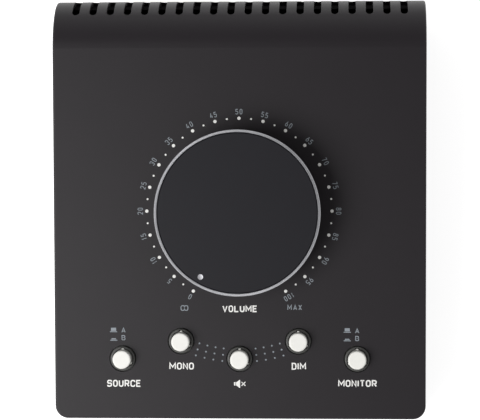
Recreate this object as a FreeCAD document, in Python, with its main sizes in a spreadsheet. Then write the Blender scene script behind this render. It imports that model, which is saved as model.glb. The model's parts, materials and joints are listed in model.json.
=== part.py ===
import FreeCAD, Part
import Sketcher
import math
import os

Vector = FreeCAD.Vector
Placement = FreeCAD.Placement
Rotation = FreeCAD.Rotation

doc = FreeCAD.newDocument("studio_monitor_controller")

# Driving dimensions in millimetres and degrees.
# Lengths on the sloping panel are measured along it, heights off it along its normal.
DIMENSIONS = {
    # Housing
    "panel_width": 134.0,
    "panel_slope": 7.0,
    "dial_to_front": 75.1,
    "dial_to_rollover": 58.4,
    "rollover_radius": 17.4,
    "front_height": 42.0,
    "shell_wall": 1.5,
    "corner_radius": 4.7,
    "edge_radius": 0.7,
    "foot_height": 3.0,
    "foot_radius": 6.0,
    "foot_inset": 14.0,
    "chassis_wall": 1.2,
    "chassis_gap": 0.2,
    "rear_opening_top": 37.0,
    "upright_top": 42.5,
    "flange_height": 14.0,
    "flange_length": 96.0,
    # Vent slots across the rear roll-over
    "slot_count": 20,
    "slot_pitch": 6.229,
    "slot_width": 2.65,
    "slot_first_angle": 44.0,
    "slot_last_angle": 96.0,
    # Volume knob
    "knob_radius": 29.35,
    "knob_side_inset": 0.25,
    "knob_lift": 0.8,
    "knob_height": 15.2,
    "knob_top_wall": 2.0,
    "knob_rim_wall": 2.7,
    "knob_groove": 0.4,
    "ring_width": 0.88,
    "ring_height": 2.5,
    "ring_proud": 0.3,
    "ring_bevel": 0.2,
    "boss_radius": 8.0,
    "boss_bottom": 4.0,
    "hub_radius": 5.5,
    "hub_bottom": 6.0,
    "marker_orbit": 26.0,
    "marker_radius": 0.98,
    "marker_depth": 1.4,
    "marker_dish": 0.12,
    "marker_angle": 240.0,
    # Potentiometer
    "shaft_radius": 3.0,
    "shaft_flat": 1.5,
    "running_clearance": 0.05,
    "bushing_radius": 4.5,
    "bushing_top": 5.5,
    "pot_side": 17.0,
    "pot_plate": 1.2,
    "pot_case_depth": 11.8,
    "pot_case_wall": 1.5,
    "rotor_radius": 5.5,
    "rotor_gap": 1.0,
    "locating_pin_radius": 1.2,
    "locating_pin_orbit": 7.0,
    "pot_nut_flats": 12.0,
    "pot_nut_height": 2.2,
    "pot_washer_radius": 7.0,
    "pot_washer_height": 0.8,
    "leg_width": 0.8,
    "leg_thickness": 0.4,
    "leg_pitch": 5.0,
    "leg_stub": 1.0,
    "upper_leg_depth": 2.0,
    "upper_leg_reach": 5.0,
    "lower_leg_depth": 8.0,
    "lower_leg_reach": 2.5,
    # Push buttons
    "button_side_offset": 42.3,
    "button_middle_offset": 21.15,
    "button_front_row": 53.3,
    "button_rear_row": 46.9,
    "button_travel": 2.5,
    "cap_radius": 3.3,
    "cap_proud": 4.5,
    "cap_skirt": 4.0,
    "cap_edge": 0.6,
    "rib_radius": 3.75,
    "rib_width": 0.8,
    "rib_top": 0.2,
    "part_clearance": 0.3,
    "bezel_bore_radius": 3.65,
    "bezel_radius": 4.5,
    "bezel_proud": 0.8,
    "bezel_edge": 0.5,
    "bezel_flange_radius": 6.2,
    "bezel_flange": 1.4,
    "panel_hole_radius": 4.85,
    "plunger_side": 3.5,
    "plunger_top": 0.8,
    "plunger_foot_side": 5.2,
    "plunger_foot_height": 1.0,
    "spring_pin_radius": 0.8,
    "spring_pin_length": 2.2,
    "switch_side": 8.5,
    "switch_height": 10.0,
    "switch_roof": 1.0,
    "switch_bore_side": 6.2,
    "switch_base": 1.5,
    "switch_pin_radius": 0.35,
    "switch_pin_length": 3.0,
    "switch_pin_rows": 4.0,
    "switch_pin_pitch": 2.0,
    "spring_radius": 1.55,
    "spring_wire": 0.4,
    "spring_turns": 5,
    "spring_gap": 0.1,
    # Boards
    "board_depth": 17.0,
    "board_thickness": 1.6,
    "board_half_width": 60.0,
    "board_front": 70.0,
    "board_rear": 14.0,
    "standoff_side": 55.0,
    "standoff_front": 64.0,
    "standoff_rear": 9.0,
    "standoff_flats": 5.0,
    "thread_radius": 1.5,
    "close_fit": 0.05,
    "pan_head_radius": 2.75,
    "pan_head_height": 2.0,
    "board_screw_length": 9.0,
    "countersunk_radius": 2.75,
    "housing_screw_length": 6.0,
    "drive_width": 0.7,
    "drive_span": 3.2,
    "drive_depth": 0.7,
    "resistor_radius": 1.1,
    "resistor_length": 6.0,
    "resistor_lead_radius": 0.3,
    "resistor_lead_reach": 5.0,
    "resistor_pitch": 9.0,
    "resistor_row": 30.0,
    # Rear jacks
    "jack_inner_column": 18.0,
    "jack_outer_column": 46.0,
    "jack_lower_row": 12.0,
    "jack_upper_row": 27.5,
    "jack_width": 15.6,
    "jack_tall": 15.0,
    "jack_depth": 27.6,
    "jack_back_wall": 1.2,
    "jack_nose_radius": 5.5,
    "jack_nose_length": 3.4,
    "jack_bore_radius": 3.25,
    "hole_clearance": 0.2,
    "jack_washer_radius": 7.2,
    "jack_washer_height": 0.8,
    "jack_nut_flats": 13.0,
    "jack_nut_height": 2.4,
    "jack_pin_radius": 0.5,
    "jack_pin_length": 2.8,
    "jack_pin_spread": 4.5,
    "mini_row": 19.75,
    "mini_side": 7.6,
    "mini_depth": 13.0,
    "mini_back_wall": 1.2,
    "mini_nose_radius": 3.0,
    "mini_nose_length": 2.4,
    "mini_bore_radius": 1.85,
    "mini_nut_radius": 4.2,
    "mini_nut_height": 1.8,
    "jack_board_half_width": 56.0,
    "jack_board_margin": 0.5,
    # Ribbon cable between the boards
    "header_offset": 6.0,
    "header_length": 24.0,
    "header_width": 8.0,
    "header_height": 6.5,
    "header_wall": 1.0,
    "header_floor": 2.0,
    "plug_height": 7.0,
    "plug_clearance": 0.15,
    "ribbon_width": 20.0,
    "ribbon_thickness": 1.0,
    "ribbon_drop": 2.0,
    "ribbon_bend": 5.0,
}

sheet = doc.addObject("Spreadsheet::Sheet", "dims")
for row, (alias, number) in enumerate(DIMENSIONS.items(), start=1):
    sheet.set(f"A{row}", alias)
    sheet.set(f"B{row}", str(number))
    sheet.setAlias(f"B{row}", alias)
doc.recompute()


class Size:
    """A number read from the sheet, kept together with the expression that gives it."""

    def __init__(self, value, text):
        self.value = float(value)
        self.text = text

    def __add__(self, other):
        other = as_size(other)
        return Size(self.value + other.value, f"({self.text} + {other.text})")

    def __sub__(self, other):
        other = as_size(other)
        return Size(self.value - other.value, f"({self.text} - {other.text})")

    def __mul__(self, other):
        other = as_size(other)
        return Size(self.value * other.value, f"({self.text} * {other.text})")

    def __truediv__(self, other):
        other = as_size(other)
        return Size(self.value / other.value, f"({self.text} / {other.text})")

    def __neg__(self):
        return Size(-self.value, f"(0 - {self.text})")

    __radd__ = __add__
    __rmul__ = __mul__

    def __rsub__(self, other):
        return as_size(other) - self


def as_size(number):
    return number if isinstance(number, Size) else Size(number, f"({number!r})")


def cosine(angle):
    return Size(math.cos(math.radians(angle.value)), f"cos({angle.text} * 1 deg)")


def sine(angle):
    return Size(math.sin(math.radians(angle.value)), f"sin({angle.text} * 1 deg)")


class Sheet:
    """Gives each cell of the sheet by its alias, as a Size."""

    def __getattr__(self, alias):
        return Size(getattr(sheet, alias), f"dims.{alias}")


d = Sheet()
ZERO = as_size(0)
# Two lengths in millimetres that differ by less than this are the same one.
MATCH = 1e-6
# The same, for lengths that come out of a fillet or a turned outline.
NEAR = 1e-3
# A cut this many walls deep passes right through the wall.
THROUGH = 4

# Places that several pieces share. Panel frame: u right, v up the slope, w off the panel, from
# the dial's centre on the outer face. World frame: +X right, +Y rear, +Z up, origin on the table
# under the middle of the whole object.
slope_cos = cosine(d.panel_slope)
slope_sin = sine(d.panel_slope)
shell_depth = (
    (d.dial_to_front + d.dial_to_rollover) * slope_cos + d.rollover_radius * (1 + slope_sin)
)
upright_inset = d.shell_wall + d.chassis_gap
jack_overhang = d.jack_nose_length - upright_inset
front_y = -(shell_depth + jack_overhang) / 2
dial_y = front_y + d.dial_to_front * slope_cos
dial_z = d.front_height + d.dial_to_front * slope_sin
rear_y = front_y + shell_depth
upright_y = rear_y - upright_inset
rollover_z = dial_z + d.dial_to_rollover * slope_sin - d.rollover_radius * slope_cos
inner_half_width = d.panel_width / 2 - upright_inset
board_top = -d.board_depth
board_bottom = board_top - d.board_thickness
switch_top = board_top + d.switch_height
plunger_foot_top = switch_top - d.switch_roof - d.part_clearance
plunger_foot_bottom = plunger_foot_top - d.plunger_foot_height
jack_back = -(d.chassis_wall + d.jack_depth)
jack_board_front = jack_back - d.board_thickness
knob_top_under = d.knob_height - d.knob_top_wall
ring_inner = d.knob_radius - d.ring_width
ring_low = d.knob_height + d.ring_proud - d.ring_height
marker_x = d.marker_orbit * cosine(d.marker_angle)
marker_y = d.marker_orbit * sine(d.marker_angle)
thread_bore = d.thread_radius + d.close_fit

BUTTONS = {
    "source": (-d.button_side_offset, -d.button_front_row),
    "mono": (-d.button_middle_offset, -d.button_rear_row),
    "mute": (ZERO, -d.button_front_row),
    "dim": (d.button_middle_offset, -d.button_rear_row),
    "monitor": (d.button_side_offset, -d.button_front_row),
}
JACKS = [
    (side * column, height)
    for column in (d.jack_inner_column, d.jack_outer_column)
    for side in (-1, 1)
    for height in (d.jack_lower_row, d.jack_upper_row)
]

X_AXIS = Vector(1, 0, 0)
Z_AXIS = Vector(0, 0, 1)
REAR_TURN = Rotation(Vector(-1, 0, 0), Vector(0, 0, 1), Vector(0, 1, 0), "ZXY")

nodes = []


def bind(thing, path, size):
    """Ties one property of an object to its expression."""
    size = as_size(size)
    thing.setExpression(path, size.text)


def vector(x, y, z):
    return Vector(*(as_size(number).value for number in (x, y, z)))


def node(thing, label):
    """Marks an object as a piece that gets a file of its own."""
    thing.Label = label
    nodes.append(thing)
    return thing


def put(thing, x=ZERO, y=ZERO, z=ZERO, turn=None):
    """Places an object in the world, tied to the sheet."""
    thing.Placement = Placement(vector(x, y, z), turn or Rotation())
    for letter, size in zip("xyz", (x, y, z)):
        bind(thing, f"Placement.Base.{letter}", size)
    return thing


def put_on_panel(thing, u=ZERO, v=ZERO):
    """Places an object in the panel frame, its own z axis along the panel's normal."""
    slope = Rotation(X_AXIS, d.panel_slope.value)
    put(thing, u, dial_y + v * slope_cos, dial_z + v * slope_sin, slope)
    bind(thing, "Placement.Rotation.Angle", d.panel_slope)
    return thing


def put_at_rear(thing, x=ZERO, z=ZERO):
    """Places an object on the connector panel's outer face, its own z axis pointing rearwards."""
    return put(thing, x, upright_y, z, REAR_TURN)


def in_world(thing):
    """Leaves an object whose copies already stand at their places in the world."""
    return thing


def make_body(name):
    return doc.addObject("PartDesign::Body", name)


def make_sketch(body, name, role, lift=None):
    """A sketch on one of the body's own origin planes, lifted along its normal."""
    sketch = body.newObject("Sketcher::SketchObject", name)
    plane = next(item for item in body.Origin.OriginFeatures if item.Role == role)
    sketch.AttachmentSupport = [(plane, "")]
    sketch.MapMode = "FlatFace"
    if lift is not None:
        bind(sketch, "AttachmentOffset.Base.z", lift)
    return sketch


def fix_point(sketch, item, corner, x, y):
    """Holds one point of a sketch at a place that the sheet gives."""
    for kind, size in (("DistanceX", as_size(x)), ("DistanceY", as_size(y))):
        index = sketch.addConstraint(
            Sketcher.Constraint(kind, -1, 1, item, corner, size.value)
        )
        bind(sketch, f"Constraints[{index}]", size)


def draw_circle(sketch, radius, x=ZERO, y=ZERO):
    item = sketch.addGeometry(Part.Circle(vector(x, y, 0), Z_AXIS, radius.value))
    index = sketch.addConstraint(Sketcher.Constraint("Radius", item, radius.value))
    bind(sketch, f"Constraints[{index}]", radius)
    fix_point(sketch, item, 3, x, y)


def draw_outline(sketch, points, arcs=None):
    """A closed outline through points. arcs gives, for a side's number, its radius and whether
    it turns anticlockwise; the other sides are straight."""
    arcs = arcs or {}
    flat = [vector(x, y, 0) for x, y in points]
    count = len(flat)
    ends = []
    for side, (x, y) in enumerate(points):
        start = flat[side]
        finish = flat[(side + 1) % count]
        if side in arcs:
            radius, anticlockwise = arcs[side]
            low, high = (start, finish) if anticlockwise else (finish, start)
            chord = high - low
            height = math.sqrt(max(radius.value**2 - chord.Length**2 / 4, 0))
            centre = (low + high) * 0.5 + Vector(-chord.y, chord.x, 0).normalize() * height
            angles = [math.atan2(end.y - centre.y, end.x - centre.x) for end in (low, high)]
            circle = Part.Circle(centre, Z_AXIS, radius.value)
            item = sketch.addGeometry(Part.ArcOfCircle(circle, *angles))
            # A half circle on a level chord is held by its centre's height, any other arc by
            # its radius.
            half_circle = height < MATCH
            held = ("DistanceY", -1, 1, item, 3, centre.y) if half_circle else ("Radius", item, radius.value)
            index = sketch.addConstraint(Sketcher.Constraint(*held))
            bind(sketch, f"Constraints[{index}]", y if half_circle else radius)
            ends.append((item, 1, 2) if anticlockwise else (item, 2, 1))
        else:
            item = sketch.addGeometry(Part.LineSegment(start, finish))
            ends.append((item, 1, 2))
        fix_point(sketch, item, ends[-1][1], x, y)
    for side, (item, _, finish) in enumerate(ends):
        following, start, _ = ends[(side + 1) % count]
        sketch.addConstraint(Sketcher.Constraint("Coincident", item, finish, following, start))


def draw_rectangle(sketch, width, height, x=ZERO, y=ZERO):
    left = x - width / 2
    right = x + width / 2
    low = y - height / 2
    high = y + height / 2
    draw_outline(sketch, [(left, low), (right, low), (right, high), (left, high)])


def extrude(body, kind, name, sketch, length, midplane=False, reverse=False):
    """A Pad or Pocket of one sketch."""
    feature = body.newObject(f"PartDesign::{kind}", name)
    feature.Profile = sketch
    feature.Midplane = midplane
    feature.Reversed = reverse
    bind(feature, "Length", length)
    return feature


def pad(body, name, sketch, length, midplane=False, reverse=False):
    return extrude(body, "Pad", name, sketch, length, midplane, reverse)


def pocket(body, name, sketch, length, midplane=False, reverse=False):
    return extrude(body, "Pocket", name, sketch, length, midplane, reverse)


def revolve(body, name, outline, arcs=None):
    """A solid of revolution about the body's z axis, from an outline of radius and height."""
    sketch = make_sketch(body, f"{name}_outline", "XZ_Plane")
    draw_outline(sketch, outline, arcs)
    feature = body.newObject("PartDesign::Revolution", name)
    feature.Profile = sketch
    feature.ReferenceAxis = (sketch, ["V_Axis"])
    feature.Angle = 360
    return feature


def block(body, name, width, height, low, high, x=ZERO, y=ZERO, kind="Pad"):
    """A rectangular Pad or Pocket from one height to another along the body's z axis."""
    sketch = make_sketch(body, f"{name}_outline", "XY_Plane", low)
    draw_rectangle(sketch, width, height, x, y)
    return extrude(body, kind, name, sketch, high - low, reverse=kind == "Pocket")


def disc(body, name, radius, low, high, x=ZERO, y=ZERO, kind="Pad"):
    """A round Pad or Pocket from one height to another along the body's z axis."""
    sketch = make_sketch(body, f"{name}_outline", "XY_Plane", low)
    draw_circle(sketch, radius, x, y)
    return extrude(body, kind, name, sketch, high - low, reverse=kind == "Pocket")


def hexagon(body, name, flats, low, high):
    """A six-sided Pad, given across its flats."""
    sketch = make_sketch(body, f"{name}_outline", "XY_Plane", low)
    corner = flats / cosine(as_size(30)) / 2
    turns = [as_size(60 * step) for step in range(6)]
    draw_outline(sketch, [(corner * cosine(turn), corner * sine(turn)) for turn in turns])
    return pad(body, name, sketch, high - low)


def round_edges(body, name, base, radius, wanted):
    """Fillets the edges of the base feature that a test picks out."""
    doc.recompute()
    edges = [f"Edge{i}" for i, edge in enumerate(base.Shape.Edges, start=1) if wanted(edge)]
    if not edges:
        raise RuntimeError(f"{name} found no edges to round")
    fillet = body.newObject("PartDesign::Fillet", name)
    fillet.Base = (base, edges)
    bind(fillet, "Radius", radius)
    return fillet


def repeat_round(body, name, features, count):
    """Repeats features evenly round the body's z axis."""
    doc.recompute()
    pattern = body.newObject("PartDesign::PolarPattern", name)
    pattern.Originals = features
    axis = next(item for item in body.Origin.OriginFeatures if item.Role == "Z_Axis")
    pattern.Axis = (axis, [""])
    pattern.Angle = 360
    pattern.Occurrences = count
    body.Tip = pattern
    return pattern


def copies(label, master, spots, placer):
    """One node that holds a separate copy of the master's solid at each spot."""
    doc.recompute()
    shape = master.Shape.copy()
    shape.Placement = Placement()
    turned = []
    for spot, turn in spots:
        solid = shape.copy()
        solid.Placement = Placement(vector(*spot), turn)
        turned.append(solid)
    group = doc.addObject("Part::Feature", label)
    group.Shape = Part.makeCompound(turned)
    placer(group)
    return node(group, label)


def upright_spots(places):
    """Spots whose copies keep the master's own direction."""
    return [((x, y, ZERO), Rotation()) for x, y in places]


def cut(label, base, tool):
    """The base with the tool taken away."""
    piece = doc.addObject("Part::Cut", label)
    piece.Base = base
    piece.Tool = tool
    return node(piece, label)


def drillings(name, spots):
    """Cylinders and cones to take out of a plate. Each spot has a point, a direction, a depth, and
    the radius at each end."""
    tools = []
    for point, direction, depth, near, far in spots:
        length = as_size(depth).value
        place = (vector(*point), Vector(*direction))
        if as_size(near).value == as_size(far).value:
            tools.append(Part.makeCylinder(as_size(near).value, length, *place))
        else:
            tools.append(Part.makeCone(as_size(near).value, as_size(far).value, length, *place))
    tool = doc.addObject("Part::Feature", name)
    tool.Shape = Part.makeCompound(tools) if len(tools) == 1 else tools[0].multiFuse(tools[1:])
    return tool


def to_panel(y, z):
    """A world place, measured from the dial's centre, in the panel's v and w."""
    return (y * slope_cos + z * slope_sin, z * slope_cos - y * slope_sin)


# Screws through the shell into the chassis: a point on the shell's outer face, and the way in.
side_screw_z = d.foot_height + d.flange_height / 2
side_screw_reach = d.flange_length / 2 - d.foot_inset
rear_screw_z = (d.rear_opening_top + d.upright_top) / 2
SHELL_SCREWS = [
    ((side * d.panel_width / 2, reach * side_screw_reach, side_screw_z), (-side, 0, 0))
    for side in (-1, 1)
    for reach in (-1, 1)
] + [((side * d.jack_inner_column, rear_y, rear_screw_z), (0, -1, 0)) for side in (-1, 1)]


def make_top_shell():
    """Steel cover: front skirt, sloping panel, rear roll-over and side skirts in one skin."""
    body = make_body("shell_skin")
    front = -d.dial_to_front
    drop_front = d.front_height - d.foot_height
    bottom = d.foot_height - dial_z
    outer_rear = rear_y - dial_y
    inner_rear = outer_rear - d.shell_wall
    outer_front = front_y - dial_y
    inner_front = outer_front + d.shell_wall
    beyond = d.shell_wall * 2
    roll_y = outer_rear - d.rollover_radius
    roll_z = rollover_z - dial_z

    side = make_sketch(body, "side_outline", "YZ_Plane")
    draw_outline(
        side,
        [
            to_panel(outer_front, bottom),
            to_panel(outer_rear, bottom),
            to_panel(outer_rear, roll_z),
            (d.dial_to_rollover, ZERO),
            (front, ZERO),
        ],
        {2: (d.rollover_radius, True)},
    )
    skin = pad(body, "outside", side, d.panel_width, midplane=True)
    half = d.panel_width.value / 2

    def upright_front(edge):
        start, finish = (vertex.Point for vertex in edge.Vertexes)
        low = min(start.z, finish.z)
        return (
            abs(abs(start.x) - half) < MATCH
            and abs(start.x - finish.x) < MATCH
            and max(start.y, finish.y) < front.value + MATCH
            and abs(low + drop_front.value * slope_cos.value) < NEAR
        )

    corners = round_edges(body, "front_corners", skin, d.corner_radius, upright_front)

    def upper_rim(edge):
        box = edge.BoundBox
        middle = edge.valueAt((edge.FirstParameter + edge.LastParameter) / 2)
        on_side = abs(abs(middle.x) - half) < MATCH and box.XLength < MATCH
        on_top = abs(middle.z) < MATCH and box.ZLength < MATCH
        at_front = on_top and middle.y < front.value + d.corner_radius.value
        at_side = on_side and (on_top or middle.y > d.dial_to_rollover.value - 1)
        is_foot = on_side and abs(middle.z - (box.ZMin + box.ZMax) / 2) < MATCH and (
            middle.z < -d.rollover_radius.value and box.YLength > box.ZLength
        )
        return (at_front or at_side) and not is_foot

    round_edges(body, "upper_edges", corners, d.edge_radius, upper_rim)

    inside = make_sketch(body, "inside_outline", "YZ_Plane")
    inner_width = d.panel_width - d.shell_wall * 2
    rise = (-d.shell_wall + inner_front * slope_sin) / slope_cos
    draw_outline(
        inside,
        [
            to_panel(inner_front, bottom - beyond),
            to_panel(inner_rear, bottom - beyond),
            to_panel(inner_rear, roll_z),
            (d.dial_to_rollover, -d.shell_wall),
            to_panel(inner_front, rise),
        ],
        {2: (d.rollover_radius - d.shell_wall, True)},
    )
    hollow = pocket(body, "inside", inside, inner_width, midplane=True)
    inner_half = inner_width.value / 2
    inner_corner_y = to_panel(inner_front, rise)[0].value

    def inner_upright(edge):
        start, finish = (vertex.Point for vertex in edge.Vertexes)
        return (
            abs(abs(start.x) - inner_half) < MATCH
            and abs(start.x - finish.x) < MATCH
            and abs(max(start.y, finish.y) - inner_corner_y) < NEAR
            and abs(start.z - finish.z) > d.corner_radius.value
            and max(start.y, finish.y) < 0
            and abs(start.y - finish.y) < edge.Length / 2
        )

    inner_corner = d.corner_radius - d.shell_wall
    round_edges(body, "inside_corners", hollow, inner_corner, inner_upright)

    opening = make_sketch(body, "rear_opening_outline", "YZ_Plane")
    opening_top = d.rear_opening_top - dial_z
    draw_outline(
        opening,
        [
            to_panel(inner_rear - beyond, bottom - beyond),
            to_panel(outer_rear + beyond, bottom - beyond),
            to_panel(outer_rear + beyond, opening_top),
            to_panel(inner_rear - beyond, opening_top),
        ],
    )
    pocket(body, "rear_opening", opening, inner_width, midplane=True)

    holes = make_sketch(body, "panel_hole_outlines", "XY_Plane")
    for u, v in BUTTONS.values():
        draw_circle(holes, d.panel_hole_radius, u, v)
    draw_circle(holes, d.bushing_radius + d.hole_clearance)
    draw_circle(holes, d.locating_pin_radius + d.hole_clearance, d.locating_pin_orbit)
    pocket(body, "panel_holes", holes, d.shell_wall * THROUGH, midplane=True)

    middle_angle = (d.slot_first_angle + d.slot_last_angle) / 2
    half_span = (d.slot_last_angle - d.slot_first_angle) / 2
    half_length = d.rollover_radius * sine(half_span)
    slot = make_sketch(body, "slot_outline", "XY_Plane")
    slot_start = d.rollover_radius + d.shell_wall
    slot.AttachmentOffset = Placement(
        vector(
            0,
            d.dial_to_rollover + slot_start * sine(middle_angle),
            slot_start * cosine(middle_angle) - d.rollover_radius,
        ),
        Rotation(X_AXIS, -middle_angle.value),
    )
    bind(slot, "AttachmentOffset.Base.y", d.dial_to_rollover + slot_start * sine(middle_angle))
    bind(slot, "AttachmentOffset.Base.z", slot_start * cosine(middle_angle) - d.rollover_radius)
    first = -(d.slot_count - 1) * d.slot_pitch / 2
    radius = d.slot_width / 2
    straight = half_length - radius
    draw_outline(
        slot,
        [
            (first - radius, -straight),
            (first + radius, -straight),
            (first + radius, straight),
            (first - radius, straight),
        ],
        {0: (radius, True), 2: (radius, True)},
    )
    slot_depth = slot_start - (d.rollover_radius - d.shell_wall) * cosine(half_span) + d.shell_wall
    vent = pocket(body, "vent_slot", slot, slot_depth)
    doc.recompute()
    row = body.newObject("PartDesign::LinearPattern", "vent_slots")
    row.Originals = [vent]
    row.Direction = (slot, ["H_Axis"])
    bind(row, "Length", (d.slot_count - 1) * d.slot_pitch)
    bind(row, "Occurrences", d.slot_count)
    body.Tip = row
    put_on_panel(body)
    doc.recompute()

    head = d.countersunk_radius
    sink = head - d.thread_radius
    screw_hole = d.thread_radius + d.close_fit * 2
    tool = drillings(
        "shell_screw_holes",
        [
            (point, way, d.shell_wall * 2, screw_hole, screw_hole)
            for point, way in SHELL_SCREWS
        ]
        + [
            (point, way, sink, head + d.close_fit, thread_bore)
            for point, way in SHELL_SCREWS
        ],
    )
    return cut("top_shell", body, tool)


def make_base_chassis():
    """Bottom plate bent up at the rear into the connector panel, with a low flange each side."""
    body = make_body("chassis_blank")
    low = d.foot_height
    wall = d.chassis_wall
    plate_front = front_y + upright_inset
    outline = make_sketch(body, "chassis_outline", "YZ_Plane")
    draw_outline(
        outline,
        [
            (plate_front, low),
            (upright_y, low),
            (upright_y, d.upright_top),
            (upright_y - wall, d.upright_top),
            (upright_y - wall, low + wall),
            (plate_front, low + wall),
        ],
    )
    bent = pad(body, "bent_plate", outline, inner_half_width * 2, midplane=True)

    def front_corner(edge):
        start, finish = (vertex.Point for vertex in edge.Vertexes)
        return (
            abs(start.y - plate_front.value) < MATCH
            and abs(finish.y - plate_front.value) < MATCH
            and abs(start.z - finish.z) > wall.value / 2
        )

    radius = d.corner_radius - upright_inset
    round_edges(body, "plate_corners", bent, radius, front_corner)
    for side, name in ((-1, "left_flange"), (1, "right_flange")):
        middle = side * (inner_half_width - wall / 2)
        block(body, name, wall, d.flange_length, low, low + d.flange_height, middle, ZERO)
    doc.recompute()
    tool = drillings(
        "chassis_holes",
        [
            (
                (x, upright_y + wall, z),
                (0, -1, 0),
                wall * 3,
                d.jack_nose_radius + d.hole_clearance,
                d.jack_nose_radius + d.hole_clearance,
            )
            for x, z in JACKS
        ]
        + [
            (
                (ZERO, upright_y + wall, d.mini_row),
                (0, -1, 0),
                wall * 3,
                d.mini_nose_radius + d.close_fit * 2,
                d.mini_nose_radius + d.close_fit * 2,
            )
        ]
        + [
            (point, way, d.housing_screw_length * 2, thread_bore, thread_bore)
            for point, way in SHELL_SCREWS
        ],
    )
    return cut("base_chassis", body, tool)


def make_feet():
    """Four moulded rubber feet, stuck under the bottom plate."""
    body = make_body("foot")
    top = d.foot_radius
    toe = top - d.foot_height / 3
    revolve(body, "foot_turn", [(ZERO, ZERO), (toe, ZERO), (top, d.foot_height), (ZERO, d.foot_height)])
    reach_x = d.panel_width / 2 - d.foot_inset
    reach_y = (rear_y - front_y) / 2 - d.foot_inset
    centre_y = (rear_y + front_y) / 2
    spots = [
        ((side * reach_x, centre_y + end * reach_y, ZERO), Rotation())
        for side in (-1, 1)
        for end in (-1, 1)
    ]
    return copies("rubber_feet", body, spots, in_world)


def make_screw(name, outline):
    """A screw with its head's top at height 0, its shank below, and a cross recess."""
    body = make_body(name)
    revolve(body, f"{name}_turn", outline)
    for turn, (width, height) in enumerate(
        [(d.drive_span, d.drive_width), (d.drive_width, d.drive_span)]
    ):
        block(body, f"{name}_recess_{turn}", width, height, -d.drive_depth, ZERO, kind="Pocket")
    return body


def make_housing_screws():
    """Countersunk screws that hold the shell to the chassis, flush with the shell."""
    head = d.countersunk_radius
    shank = d.thread_radius
    body = make_screw(
        "countersunk_screw",
        [
            (ZERO, -d.housing_screw_length),
            (shank, -d.housing_screw_length),
            (shank, -(head - shank)),
            (head, ZERO),
            (ZERO, ZERO),
        ],
    )
    spots = []
    for point, way in SHELL_SCREWS:
        outward = Vector(*way) * -1
        spots.append((point, Rotation(Z_AXIS, outward)))
    return copies("housing_screws", body, spots, in_world)


def make_knob():
    """Turned aluminium knob, hollow below, with a boss for its hub and a rebate for its ring."""
    body = make_body("knob_blank")
    side = d.knob_radius - d.knob_side_inset
    rim_inner = side - d.knob_rim_wall
    revolve(
        body,
        "knob_turn",
        [
            (d.hub_radius, d.boss_bottom),
            (d.boss_radius, d.boss_bottom),
            (d.boss_radius, knob_top_under),
            (rim_inner, knob_top_under),
            (rim_inner, d.knob_lift),
            (side, d.knob_lift),
            (side, ring_low),
            (ring_inner, ring_low),
            (ring_inner, d.knob_height - d.knob_groove),
            (ring_inner - d.knob_groove, d.knob_height),
            (ZERO, d.knob_height),
            (ZERO, knob_top_under),
            (d.hub_radius, knob_top_under),
        ],
    )
    disc(
        body,
        "marker_bore",
        d.marker_radius + d.close_fit,
        d.knob_height - d.marker_depth,
        d.knob_height + d.ring_proud,
        marker_x,
        marker_y,
        kind="Pocket",
    )
    node(put_on_panel(body), "knob_body")


def make_trim_ring():
    """Bright ring pressed round the knob's top edge, a little proud of it."""
    ring = make_body("ring_blank")
    outer = d.knob_radius
    top = d.knob_height + d.ring_proud
    revolve(
        ring,
        "ring_turn",
        [
            (ring_inner, ring_low),
            (outer - d.ring_bevel, ring_low),
            (outer, ring_low + d.ring_bevel),
            (outer, top - d.ring_bevel),
            (outer - d.ring_bevel, top),
            (ring_inner + d.ring_bevel, top),
            (ring_inner, top - d.ring_bevel),
        ],
    )
    node(put_on_panel(ring), "knob_trim_ring")


def make_marker():
    """Bright pin set into the knob's top, with a shallow dish in its end."""
    marker = make_body("marker_blank")
    radius = d.marker_radius
    sphere = (radius * radius + d.marker_dish * d.marker_dish) / (d.marker_dish * 2)
    revolve(
        marker,
        "marker_turn",
        [
            (ZERO, -d.marker_depth),
            (radius, -d.marker_depth),
            (radius, ZERO),
            (ZERO, -d.marker_dish),
        ],
        {2: (sphere, False)},
    )
    put_on_panel(marker, marker_x, marker_y)
    lifted = d.knob_height
    bind(marker, "Placement.Base.y", dial_y + marker_y * slope_cos - lifted * slope_sin)
    bind(marker, "Placement.Base.z", dial_z + marker_y * slope_sin + lifted * slope_cos)
    node(marker, "knob_marker")


def make_hub():
    """Insert in the knob's boss, with a D-shaped bore for the shaft."""
    hub = make_body("hub_blank")
    fit = d.close_fit
    top = knob_top_under - fit
    disc(hub, "hub_barrel", d.hub_radius - fit, d.hub_bottom, top)
    bore = make_sketch(hub, "hub_bore_outline", "XY_Plane", d.hub_bottom)
    bore_radius = d.shaft_radius + fit
    flat = d.shaft_flat + fit
    reach = Size(
        math.sqrt(bore_radius.value**2 - flat.value**2),
        f"sqrt({bore_radius.text} * {bore_radius.text} - {flat.text} * {flat.text})",
    )
    half_turn = (bore_radius, True)
    draw_outline(
        bore, [(flat, reach), (-bore_radius, ZERO), (flat, -reach)], {0: half_turn, 1: half_turn}
    )
    pocket(hub, "hub_bore", bore, top - d.hub_bottom, reverse=True)
    node(put_on_panel(hub), "knob_hub")


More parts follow.
